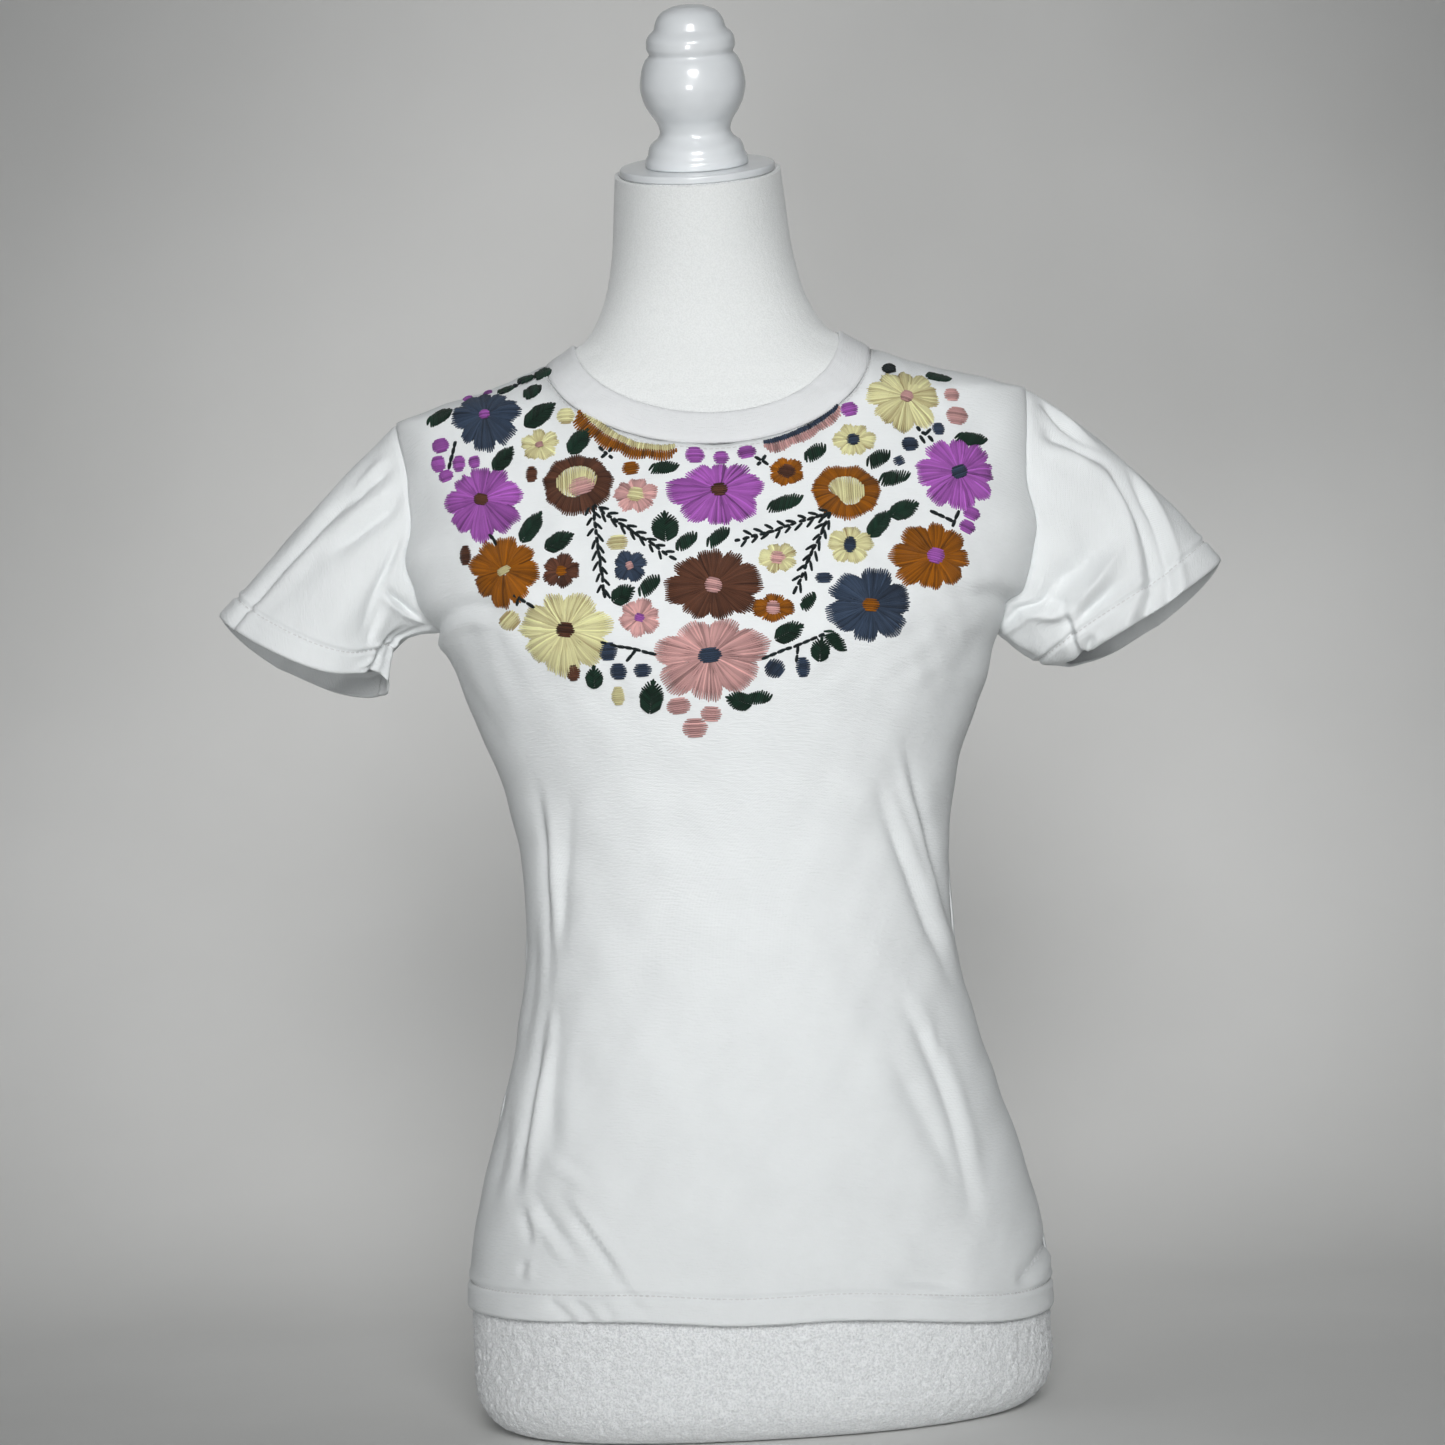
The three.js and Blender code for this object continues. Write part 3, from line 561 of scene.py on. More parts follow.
def paint(tree, shader, share, dark, light, low=0.0, high=1.0):
    """Colours the shader between dark and light, as share goes from low to high."""
    ramp = add_node(tree, "ValToRGB", Fac=share)
    for stop, place, colour in zip(ramp.color_ramp.elements, (low, high), (dark, light)):
        stop.position, stop.color = place, (*colour, 1)
    tree.links.new(ramp.outputs["Color"], shader.inputs["Base Color"])


def raise_surface(tree, shader, heights):
    """Bumps laid over each other: pairs of a height and how tall it is in metres."""
    below = {}
    for height, tall in heights:
        bump = add_node(tree, "Bump", {"Strength": 1, "Distance": tall}, Height=height, **below)
        below = {"Normal": bump.outputs["Normal"]}
    tree.links.new(below["Normal"], shader.inputs["Normal"])


helpers = new_finish, add_node, place_on, noise, stripes, paint, raise_surface
print("helpers for finishes:", *(helper.__name__ for helper in helpers))

# %% Jersey and rib
JERSEY_WHITE, RIB_WHITE = (0.81, 0.835, 0.84), (0.75, 0.765, 0.775)
PATCH_SHADE = 0.97  # how light the darker patches are
PATCH_LUMPS, SLUB_LUMPS, SLUB_STRETCH = 38, 420, (0.5, 2.2, 1)
PATCH_TALL, SLUB_TALL, COLUMN_TALL, LOOP_TALL = 0.00015, 0.0004, 0.00006, 0.00003


def knit(name, colour, across, rows):
    """A knitted cloth with across columns and rows of loops to a metre."""
    finish, tree, shader = new_finish(name, colour, {"Roughness": 0.88, "Sheen Weight": 0.12})
    flat = place_on(tree, "UV")
    slub = noise(tree, place_on(tree, "UV", SLUB_STRETCH), SLUB_LUMPS, 3)
    patch = noise(tree, flat, PATCH_LUMPS, 3)
    paint(tree, shader, patch, [PATCH_SHADE * c for c in colour], colour, 0.3, 0.62)
    columns, loops = stripes(tree, flat, across, "X"), stripes(tree, flat, rows, "Y")
    raise_surface(tree, shader, [(patch, PATCH_TALL), (slub, SLUB_TALL),
                                 (columns, COLUMN_TALL), (loops, LOOP_TALL)])
    return finish


jersey = knit("jersey", JERSEY_WHITE, 420, 520)
rib = knit("rib", RIB_WHITE, 300, 520)
print("jersey and rib made of", len(jersey.node_tree.nodes), "nodes each")

# %% [markdown]
# ## Front and back
# A panel is a grid of cloth. Its rows run from side edge to side edge: level at the hem, and
# bent into the neckline above the bust. Its side edge climbs the side seam, goes round the
# armhole and follows the shoulder. Both faces of the wall are made here, rather than with a
# Solidify modifier, so that the turned-up hem can be thicker and the seams can dip.

# %% The panels' edges
SIDE_ROWS, ARMHOLE_ROWS, HEM_ROWS = 112, 50, 18
SHOULDER_COLS, NECK_COLS, NECK_FINE = 58, 86, 161
CLIMB_SHARE = 0.3  # how much a climb counts when points are spread along the top edge
EDGE_HOLD, DRAW_HOLD, NECK_HOLD = 4, 2, 3  # higher keeps an edge's bend closer to that edge


def hung(share, z):
    """Lets the cloth hang a little lower towards its sides. share is -1 to 1 across the panel."""
    right = curve(SAG, "right", z) * smooth((-share - SAG_FROM[RIGHT]) / SAG_OVER[RIGHT])
    left = curve(SAG, "left", z) * smooth((share - SAG_FROM[LEFT]) / SAG_OVER[LEFT])
    return z - right - left


def armhole_edge(side, panel, turn):
    """Level, height and turn of the armhole's edge, from the underarm to the shoulder tip: half
    an oval, whose depth is the sine of the turn."""
    middle = (UNDERARM_Z + SHOULDER_TIP_Z) / 2
    level = middle - (SHOULDER_TIP_Z - UNDERARM_Z) / 2 * np.cos(turn)
    z = hung(side, level)
    _, reach, square = shirt_ring(panel, z)
    share = np.minimum(ARMHOLE_REACH[panel] * np.sin(turn) / reach, 1)
    return level, z, np.arctan2((1 - share ** square) ** (1 / square), share)


def side_edge(side, panel):
    """Levels and turns of a panel's side edge: up the side seam and round the armhole to the
    shoulder tip."""
    hem = np.linspace(HEM_Z, HEM_Z + HEM_FINE, HEM_ROWS, endpoint=False)
    seam = np.linspace(HEM_Z + HEM_FINE, UNDERARM_Z, SIDE_ROWS)
    level, _, armhole = armhole_edge(side, panel, np.linspace(0, np.pi, ARMHOLE_ROWS + 1)[1:])
    turns = np.concatenate([np.full(HEM_ROWS + SIDE_ROWS, QUARTER), armhole])
    return np.concatenate([hem, seam, level]), side * turns


def neck_edge(panel, turn, point_z, middle_z):
    """Height and turn of a neckline: half an oval from neck point to neck point."""
    lean = NECK_SHIFT * np.cos(turn) ** 2 if panel == FRONT else 0
    z = middle_z + (point_z - middle_z) * (1 - np.cos(turn))
    x = shirt_ring(panel, np.array(point_z, float))[0] * np.sin(turn) + lean
    at = turn_at_side(panel, x, z)
    return z, np.where(np.abs(turn) > QUARTER - 1e-6, np.sign(turn) * QUARTER, at)


print("rows up a panel's side edge", len(side_edge(LEFT, FRONT)[0]))

# %% Lengths of cloth round the body
GIRTH_Z = np.arange(50, 612, 2.0)
GIRTH_TURNS = np.linspace(0, QUARTER, 361)
INSIDE = 1.001  # keeps a reading just inside the last row and column


def girth_tables(panel):
    """Half girths of the shirt's rings, and the turns at even shares of them: lengths of cloth
    are added up from the middle line to the side."""
    run = run_along(shirt_point(panel, GIRTH_TURNS, GIRTH_Z[:, None]), 1)
    even = np.linspace(0, 1, len(GIRTH_TURNS))
    turns = np.array([np.interp(even, row / row[-1], GIRTH_TURNS) for row in run])
    return run, turns


GIRTHS = {panel: girth_tables(panel) for panel in (FRONT, BACK)}
print("girths kept for", len(GIRTH_Z), "heights of each panel")


def read_grid(values, row, col):
    """A grid of values read between its points: blended along both ways."""
    row = np.clip(row, 0, values.shape[0] - INSIDE)
    col = np.clip(col, 0, values.shape[1] - INSIDE)
    r, c = row.astype(int), col.astype(int)
    low = lerp(values[r, c], values[r, c + 1], col - c)
    high = lerp(values[r + 1, c], values[r + 1, c + 1], col - c)
    return lerp(low, high, row - r)


def girth_of(panel, turn, z):
    """How far round the cloth is from the middle line, less than nought on the wearer's right."""
    row = (z - GIRTH_Z[0]) / (GIRTH_Z[1] - GIRTH_Z[0])
    col = np.abs(turn) / QUARTER * (len(GIRTH_TURNS) - 1)
    return np.sign(turn) * read_grid(GIRTHS[panel][0], *np.broadcast_arrays(row, col))


def turn_of(panel, girth, z):
    """The turn at which the cloth is so far round from the middle line."""
    row = (z - GIRTH_Z[0]) / (GIRTH_Z[1] - GIRTH_Z[0])
    whole = np.interp(z, GIRTH_Z, GIRTHS[panel][0][:, -1])
    col = np.minimum(np.abs(girth) / whole, 1) * (len(GIRTH_TURNS) - 1)
    return np.sign(girth) * read_grid(GIRTHS[panel][1], *np.broadcast_arrays(row, col))


# %% The panels' grids
def spread_along(panel, turn, z):
    """How far along the top edge each of its points is: the way across and a share of the climb."""
    step = np.abs(np.diff(shirt_point(panel, turn, z), axis=0))
    return np.r_[0, (step[:, 0] + CLIMB_SHARE * step[:, 2]).cumsum()]


def top_edge(panel, middle_z):
    """Levels, lengths from the middle line and shares of a panel's top edge: up one shoulder
    seam, along the neckline and down the other shoulder. Points are spread by how far across
    they are and, less, by how far up. The neckline is lifted by what its place will hang."""
    shoulder = np.linspace(SHOULDER_TIP_Z, NECK_POINT_Z, SHOULDER_COLS)
    z, turn = neck_edge(panel, np.linspace(-QUARTER, QUARTER, NECK_FINE), NECK_POINT_Z, middle_z)
    run = spread_along(panel, turn, z)
    even = np.linspace(0, run[-1], NECK_COLS)
    z, turn = np.interp(even, run, z), np.interp(even, run, turn)
    z = np.concatenate([shoulder[:-1], z, shoulder[-2::-1]])
    flat = np.full(SHOULDER_COLS - 1, QUARTER)
    turn = np.concatenate([-flat, turn, flat])
    run = spread_along(panel, turn, z)
    share = 2 * run / run[-1] - 1
    return z + (z - hung(share, z)), girth_of(panel, turn, z), share


def panel_grid(panel):
    """Turn and height of each point of a panel, rows up and columns across. A row's height
    is a share of the way from the hem to the top edge, moved near its ends to meet the side
    edge. Its lengths of cloth from the middle line change from the hem's to the top edge's above
    the yoke, and are drawn in at the armholes."""
    right, left = side_edge(RIGHT, panel), side_edge(LEFT, panel)
    edge_level, edge_turn = left
    run = run_along(shirt_point(panel, edge_turn[-ARMHOLE_ROWS - 1:], edge_level[-ARMHOLE_ROWS - 1:]))
    middle = edge_level.copy()
    middle[-ARMHOLE_ROWS:] = lerp(UNDERARM_Z, NECK_POINT_Z, run[1:] / run[-1])
    rise = ((middle - HEM_Z) / (NECK_POINT_Z - HEM_Z))[:, None]
    top_z, top_girth, share = top_edge(panel, NECK_FRONT_Z if panel == FRONT else NECK_BACK_Z)
    ends = edge_level[:, None] - HEM_Z - rise * (SHOULDER_TIP_Z - HEM_Z)
    at_neck = np.arange(len(share)) - SHOULDER_COLS + 1
    dip = np.where((at_neck >= 0) & (at_neck < NECK_COLS), rise ** NECK_HOLD, rise)
    level = HEM_Z + rise * (NECK_POINT_Z - HEM_Z) + dip * (top_z - NECK_POINT_Z)
    z = hung(share, level + ends * np.abs(share) ** EDGE_HOLD)
    whole = girth_of(panel, QUARTER, z)
    upper = smooth((middle - YOKE_Z) / (NECK_POINT_Z - YOKE_Z))[:, None]
    girth = lerp(share * whole[:, :1], top_girth, upper)
    at_right, at_left = (girth_of(panel, turns, hung(np.sign(turns), levels))[:, None]
                         for levels, turns in (right, left))
    drawn = np.where(share > 0, at_left - girth[:, -1:], at_right - girth[:, :1])
    girth = girth + drawn * np.abs(share) ** DRAW_HOLD
    turn = turn_of(panel, girth, z)
    turn[:, 0], turn[:, -1] = right[1], left[1]
    return turn, z


print("rows and columns of the front's grid", *panel_grid(FRONT)[0].shape)

# %% Seams and hems
JERSEY_WALL, HEM_WALL, SEAM_GAP = 1.0, 1.9, 0.14
SEAM_DIP, SEAM_WIDE = 0.8, 2.1
HEM_SWELL, HEM_SOFT = 0.6, 1.6
EDGE_ROLL, EDGE_WIDE = 0.8, 0.9
HEM_STITCH_AT = 14.2
HEM_WAVES = records("at wide height", [
    (14.2, 1.2, -1.3),
    (17.4, 1.8, 0.8),
    (11.4, 1.6, 0.2),
])


def seam_dip(apart):
    """Cloth turns inwards at a seam: a bell curve of the distance from it."""
    return -SEAM_DIP * bell(apart, SEAM_WIDE)


def hem_relief(up):
    """The turned-up hem: proud of the cloth, rolled under at its edge, drawn in at the stitched
    line and puffed up over it, each a bell curve of the height above the edge."""
    band = HEM_SWELL * smooth((HEM_DEPTH - up) / HEM_SOFT)
    lines = sum(wave.height * bell(up - wave.at, wave.wide) for wave in HEM_WAVES)
    return -EDGE_ROLL * bell(up, EDGE_WIDE) + band + lines


def hem_thickness(up):
    """The wall's thickness by its height over the hem's edge."""
    return lerp(HEM_WALL, JERSEY_WALL, smooth((up - HEM_DEPTH + 1) / 2))


print("hem proud by", [round(float(hem_relief(up)), 2) for up in (0, 7, 14, 17)], "mm, 0, 7, 14, 17 up")

# %% The panels' cloth
stitched_cloth = []  # outer face, outward direction and run from the hem of each hemmed piece
necklines = []  # the same for the front below the neckline, with the run from there


def body_panel(name, panel):
    """One panel: the smooth grid, moved out by creases, seams and hem, and its inner face."""
    turn, z = panel_grid(panel)
    base, out = shirt_point(panel, turn, z), outward(panel, turn, z)
    across, up = run_along(base, 1), run_along(base)
    down = run_along(base[::-1])[::-1]
    sides = np.minimum(across, run_along(base[:, ::-1], 1)[:, ::-1])
    height = body_relief(panel, turn, z) + hem_relief(up)
    height = height + seam_dip(sides) + seam_dip(down)
    outer = base + out * height[..., None]
    # Half the seam's gap is left along the sides, the shoulders and the neckline.
    outer[:SIDE_ROWS + HEM_ROWS, [0, -1], 1] += panel * SEAM_GAP / 2
    outer[-1, :, 1] += panel * SEAM_GAP / 2
    inner = outer - out * hem_thickness(up)[..., None]
    stitched_cloth.append((outer, out, up))
    if panel == FRONT:
        neck = slice(SHOULDER_COLS - 1, 1 - SHOULDER_COLS)
        necklines.append([grid[::-1, neck] for grid in (outer, out, down)])
    plan, grids = np.stack([across, up], -1) * MM, np.stack([outer, inner])
    if panel == BACK:
        grids, plan = grids[:, :, ::-1], plan[:, ::-1]
    piece = make_piece(f"{name}_jersey", grids, wall_faces(*turn.shape), jersey, "jersey",
                       [f"{name}_panel"], np.stack([plan, plan]))
    corner = base[:-1, :-1]
    area = np.linalg.norm(np.cross(base[1:, :-1] - corner, base[:-1, 1:] - corner), axis=-1).sum()
    print(f"  {name}: hem {across[0, -1]:.0f} mm, widest {across[:, -1].max():.0f}, "
          f"long {up[-1].max():.0f}, area {area / 1e6:.4f} m2")
    return piece


front_piece = body_panel("front", FRONT)
back_piece = body_panel("back", BACK)

# %% [markdown]
# ## Sleeves
# A set-in sleeve is a short tube. One end has the armhole's shape; the other is an open, pointed
# oval, because the empty sleeve hangs folded flat along its top. Straight lines of cloth join
# them, bowed a little, and creased where the empty cloth gives way. A turn of 0 is the top fold,
# a quarter the front and a half the underarm.

# %% The sleeves' creases
SLEEVE_SCALE = 300, 120  # millimetres round and along a sleeve, for its creases
SLEEVE_BOWS = records("side around height", [
    (LEFT, 0, 6),
    (LEFT, 0.5, 5),
    (RIGHT, 0, 1),
    (RIGHT, 0.5, -15),
])
SLEEVE_CREASES = {LEFT: creases([
    (0.15, 0.04, 0.103, 0.215, 0.082, 0.47, 4.6, -5.4, -0.5),
    (0.08, 0.34, 0.13, 0.64, 0.27, 1.0, 4.5, -5.4, -0.5, 0, 1),
    (0.04, 0.46, 0.105, 0.70, 0.215, 1.0, 3.4, -4.4, 0.35, 0, 1),
    (0.06, 0.40, 0.118, 0.67, 0.243, 1.0, 6.5, -3.0, 0, 0, 1),
    (0.02, 0.08, 0.07, 0.18, 0.05, 0.40, 3.2, -3.2, 0.8),
    (0.14, 0.02, 0.05, 0.09, 0.11, 0.22, 5, -3.0, 0.3),
    (0.345, 0.14, 0.285, 0.41, 0.17, 0.60, 9, -8, -0.3),
    (0.355, 0.20, 0.345, 0.38, 0.325, 0.57, 3.6, -4.6, -0.7),
    (0.345, 0.40, 0.37, 0.65, 0.42, 1.0, 2.8, -3.8, 0.6, 0, 1),
    (0.35, 0.82, 0.38, 0.93, 0.41, 1.0, 3.4, -3.6, 0.4, 0, 1),
    (0.335, 0.53, 0.25, 0.61, 0.16, 0.655, 5, 3.0, 0),
    (0.365, 0.64, 0.30, 0.68, 0.225, 0.74, 6, -4.5, 0.3),
    (0.33, 0.28, 0.37, 0.20, 0.42, 0.05, 5, -4.4, 0.4, 0, 1),
    (0.24, 0.80, 0.26, 0.90, 0.28, 1.0, 5, -2.0, 0.4, 0, 1),
    (0.48, 0.03, 0.49, 0.35, 0.47, 0.8, 6, -2.4, 0.4, 1),
    (0.90, 0.1, 0.85, 0.5, 0.78, 1.0, 7, -4.0, 0.5, 0, 1),
    (0.66, 0.1, 0.68, 0.5, 0.70, 1.0, 12, 3.0, 0.0, 0, 1),
    (0.78, 0.12, 0.80, 0.35, 0.86, 0.62, 5, -2.6, 0.5),
    (0.58, 0.05, 0.62, 0.3, 0.60, 0.7, 5, -2.4, 0.5, 1),
]), RIGHT: creases([
    (0.11, 0.12, 0.09, 0.50, 0.09, 1.0, 5.6, -4.8, -0.25, 0, 1),
    (0.145, 0.0, 0.12, 0.18, 0.11, 0.38, 3.6, -3.6, 0.5),
    (0.20, 0.0, 0.18, 0.25, 0.16, 0.54, 5, -5.4, 0.4, 1),
    (0.225, 0.0, 0.29, 0.33, 0.35, 0.80, 6, -5.4, -0.2),
    (0.30, 0.16, 0.335, 0.46, 0.37, 0.76, 4.4, -3.4, 0.3),
    (0.29, 0.24, 0.34, 0.18, 0.39, 0.06, 3.8, -4.0, 0.5, 0, 1),
    (0.36, 0.95, 0.39, 0.86, 0.42, 0.72, 3, 1.6, 0.6),
    (0.13, 0.50, 0.15, 0.68, 0.14, 0.90, 9, -1.6, 0.3),
    (0.44, 0.0, 0.455, 0.45, 0.455, 1.0, 3, 2.2, 0.5, 1, 1),
    (0.40, 0.22, 0.41, 0.6, 0.41, 1.0, 3.6, -3.0, 0.3, 0, 1),
    (0.88, 0.1, 0.84, 0.5, 0.80, 1.0, 7, -4.0, 0.5, 0, 1),
    (0.64, 0.1, 0.67, 0.5, 0.70, 1.0, 12, 3.0, 0.0, 0, 1),
    (0.80, 0.05, 0.78, 0.3, 0.72, 0.6, 5, -2.4, 0.4),
    (0.56, 0.05, 0.60, 0.3, 0.58, 0.7, 5, -2.2, 0.5, 1),
])}
CUFF_TIP = np.array([280.0, 463.0])
CUFF_UNDERARM = {RIGHT: np.array([190.0, 416.0]), LEFT: np.array([190.0, 411.0])}
CUFF_HALF_DEPTH, CUFF_POINT, CORNER_HOLD = 43, 1.75, 8
CUFF_DRAWN = records("side front back corner", [
    (RIGHT, -5, 15, 34),
    (LEFT, -2, 13, 0),
])


def cuff_point(side, turn):
    """The sleeve's hem: an oval pointed at both folds. Both its halves sag, the back more than
    the front, and the front's corner at the underarm is drawn up the sleeve."""
    s, c = np.sin(turn), np.cos(turn)
    k = squared(s, c, CUFF_POINT)
    tip, underarm = CUFF_TIP, CUFF_UNDERARM[side]
    middle, rise = (tip + underarm) / 2, (tip - underarm) / 2
    up_sleeve = np.array([-rise[1], rise[0]]) / np.hypot(*rise)
    hang = next(row for row in CUFF_DRAWN if row.side == side)
    drawn = np.where(s > 0, hang.front, hang.back) * s
    drawn = drawn + hang.corner * np.maximum(s, 0) * ((1 - c) / 2) ** CORNER_HOLD
    x, z = middle[:, None] + rise[:, None] * c * k + up_sleeve[:, None] * drawn
    return np.stack([side * x, -CUFF_HALF_DEPTH * s * k, z], -1)


def armhole_spots(side, turn):
    """The armhole's cloth from the shoulder tip by the front to the underarm and up the back."""
    points, outs = np.empty((len(turn), 3)), np.empty((len(turn), 3))
    for panel, chosen in ((FRONT, turn <= np.pi), (BACK, turn > np.pi)):
        half = np.pi - turn[chosen] if panel == FRONT else turn[chosen] - np.pi
        _, z, at = armhole_edge(side, panel, half)
        points[chosen], outs[chosen] = body_cloth(panel, side * at, z)
    return points, outs


print("creases of the left sleeve", len(SLEEVE_CREASES[LEFT]), "of the right", len(SLEEVE_CREASES[RIGHT]))

# %% The sleeves' cloth
SLEEVE_ACROSS, SLEEVE_ROWS, SLEEVE_HEM_ROWS = 200, 76, 17
SLEEVE_SEAM_AT = 0.55  # the tube's own seam, just behind the underarm
ROWS_DENSER = 1.1  # over 1 lays rows closer near the armhole
SETTLE = 0.16  # creases are whole from this share of the sleeve on


def sleeve_relief(side, around, along):
    """Height over the straight lines: creases that settle in from the seam, and broad bows, a
    squared cosine of the turn from where they are highest, times a sine along the sleeve."""
    a, b = np.broadcast_arrays(around * SLEEVE_SCALE[0], along * SLEEVE_SCALE[1])
    relief = crease_relief(a, b, SLEEVE_CREASES[side], SLEEVE_SCALE, SLEEVE_SCALE[0])
    relief = relief + waviness(a, b + SLEEVE_SHIFT * side)
    bows = sum(bow.height * np.maximum(np.cos(2 * np.pi * (around - bow.around)), 0) ** 2
               for bow in SLEEVE_BOWS if bow.side == side)
    return relief * smooth(along / SETTLE) + bows * np.sin(np.pi * along)


def sleeve(name, side):
    """A tube of straight lines from the armhole to the hem, moved out by bows and creases."""
    run_round = np.linspace(0, 1, SLEEVE_ACROSS, endpoint=False)
    around = (run_round + SLEEVE_SEAM_AT) % 1
    turn = 2 * np.pi * around
    start, start_out = armhole_spots(side, turn)
    start = start + start_out * seam_dip(0)
    end = cuff_point(side, turn)
    long = np.linalg.norm(end - start, axis=-1)
    hem_at = 1 - HEM_FINE / long
    body = np.linspace(0, 1, SLEEVE_ROWS) ** ROWS_DENSER
    hem = np.linspace(0, 1, SLEEVE_HEM_ROWS + 1)[1:]
    along = np.concatenate([hem_at * body[:, None], hem_at + (1 - hem_at) * hem[:, None]])
    base = start + (end - start) * along[..., None]
    across = np.roll(base, -1, 1) - np.roll(base, 1, 1)
    out = unit(side * np.cross(across, end - start))
    run, from_hem = along * long, (1 - along) * long
    height = sleeve_relief(side, around, along) + hem_relief(from_hem)
    height = height + seam_dip(run) - seam_dip(0)
    height[0] = 0
    outer = base + out * height[..., None]
    inner = outer - out * hem_thickness(from_hem)[..., None]
    inner[0] = outer[0] - unit(out[0] + start_out) * JERSEY_WALL
    closed = np.r_[np.arange(SLEEVE_ACROSS), 0]
    stitched_cloth.append((outer[::-1, closed], out[::-1, closed], from_hem[::-1, closed]))
    # The seam's gap is left at the armhole.
    into = unit(end - start)
    outer[0] += into[0] * SEAM_GAP
    inner[0] += into[0] * SEAM_GAP
    grids = np.stack([outer, inner])
    plan = np.stack(np.broadcast_arrays(run_round * SLEEVE_SCALE[0], run), -1) * MM
    if side == RIGHT:
        grids, plan = grids[:, :, ::-1], plan[:, ::-1]
    faces = wall_faces(*base.shape[:2], around=True)
    piece = make_piece(f"{name}_jersey", grids, faces, jersey, "jersey", [name], np.stack([plan, plan]))
    armhole, cuff = (run_along(base[row, closed])[-1] for row in (0, -1))
    print(f"  {name}: armhole {armhole:.0f} mm round, hem {cuff:.0f}, "
          f"along the top {long.max():.0f}, underarm {long.min():.0f}")
    return piece


sleeve_left = sleeve("sleeve_left", LEFT)
sleeve_right = sleeve("sleeve_right", RIGHT)

# %% [markdown]
# ## Neckband
# The neckband is a strip of rib folded double and sewn to the neckline, so its free edge is a
# round fold. Its section is a flat loop: up the outside, over the fold and down the inside. The
# section is carried round the neck between two ovals, the neckline and the fold.

# %% The neckband
BAND_ACROSS, BAND_SEAM_AT, BAND_FACE = 420, 0.5, 17
RIB_PROUD, RIB_WALL = 0.5, 1.9
FACE_ROWS, FOLD_ROWS, INSIDE_ROWS = 11, 7, 6
FACE_SWELL, SWELL_HOLD, SEAM_TUCK, FOLD_INSET = 0.5, 0.6, 0.25, 0.1
RIPPLES = records("count height phase", [(23, 0.12, 0), (61, 0.08, 1)])


def neck_loop(around, point_z, front_z, back_z):
    """Panel, turn and height round a neckline: 0 is centre front and a half centre back."""
    turn = (2 * np.pi * around + np.pi) % (2 * np.pi) - np.pi
    at_front = np.abs(turn) <= QUARTER
    back_turn = np.sign(turn) * (np.pi - np.abs(turn))
    front_z, front_at = neck_edge(FRONT, np.clip(turn, -QUARTER, QUARTER), point_z, front_z)
    back_z, back_at = neck_edge(BACK, np.clip(back_turn, -QUARTER, QUARTER), point_z, back_z)
    return at_front, np.where(at_front, front_at, back_at), np.where(at_front, front_z, back_z)


def neck_cloth(at_front, turn, z):
    """The smooth cloth and its outward direction, on the front or the back as chosen."""
    pick = at_front[..., None]
    points = np.where(pick, shirt_point(FRONT, turn, z), shirt_point(BACK, turn, z))
    return points, np.where(pick, outward(FRONT, turn, z), outward(BACK, turn, z))


def neckband():
    """Sweeps the folded band's section round the neck."""
    around = (np.linspace(0, 1, BAND_ACROSS, endpoint=False) + BAND_SEAM_AT) % 1
    at_front, low_turn, low_z = neck_loop(around, NECK_POINT_Z, NECK_FRONT_Z, NECK_BACK_Z)
    _, top_turn, top_z = neck_loop(around, BAND_POINT_Z, BAND_FRONT_Z, BAND_BACK_Z)
    face, inside = np.linspace(0, 1, FACE_ROWS), np.linspace(1, 0, INSIDE_ROWS)
    bend = np.linspace(0, np.pi, FOLD_ROWS + 2)[1:-1]
    share = np.concatenate([face, np.ones(FOLD_ROWS), inside])[:, None]
    half, middle = RIB_WALL / 2, RIB_PROUD - RIB_WALL / 2
    swell = FACE_SWELL * np.sin(np.pi * face) ** SWELL_HOLD
    proud = RIB_PROUD + swell + (seam_dip(face * BAND_FACE) + SEAM_TUCK)
    off = np.concatenate([proud, middle + half * np.cos(bend), np.full(INSIDE_ROWS, middle - half)])
    over = np.concatenate([np.zeros(FACE_ROWS), half * np.sin(bend), np.zeros(INSIDE_ROWS)])
    turn, z = lerp(low_turn, top_turn, share), lerp(low_z, top_z, share)
    points, out = neck_cloth(np.broadcast_to(at_front, z.shape), turn, z)
    rise = unit(points[FACE_ROWS - 1] - points[0])
    inset = (half + FOLD_INSET) * smooth(share)
    ripple = sum(row.height * np.sin(2 * np.pi * around * row.count + row.phase) for row in RIPPLES)
    points = points + out * (off[:, None] + ripple * share)[..., None]
    points = points + rise * (over[:, None] - inset + SEAM_GAP * (share == 0))[..., None]
    loop = np.concatenate([points, points[:1]])
    rows, cols = points.shape[:2]
    faces = grid_faces(rows + 1, cols, around=True) % (rows * cols)
    spread = np.linalg.norm(points[0] - np.roll(points[0], 1, 0), axis=-1).cumsum()
    width = np.linalg.norm(np.diff(loop, axis=0), axis=-1).cumsum(0)
    plan = np.stack(np.broadcast_arrays(spread, width), -1) * MM
    piece = make_piece("neckband_rib", points, faces, rib, "rib", ["neckband"], plan)
    print(f"  neckband: seam {spread[-1]:.0f} mm round, {width[-1].mean():.0f} mm of cloth across")
    return piece


band_piece = neckband()

# %% [markdown]
# ## The dress form
# The form is a rigid torso without head, arms or legs, in a stretch cover with a looped, fuzzy
# face. Most of it is under the shirt, so one smooth body is enough there. Where it shows, below
# the hem and above the neckband, a finer skin carries the loops: small random tufts, worked out
# as noise on the grid, which roughen its outline too.

# %% The form's body
FOOT_ROUND = 28
NECK_TILT = np.radians(17)
NECK_TOP = FORM["z"][-1]
NECK_MIDDLE = (FORM["back"][-1] - FORM["front"][-1]) / 2


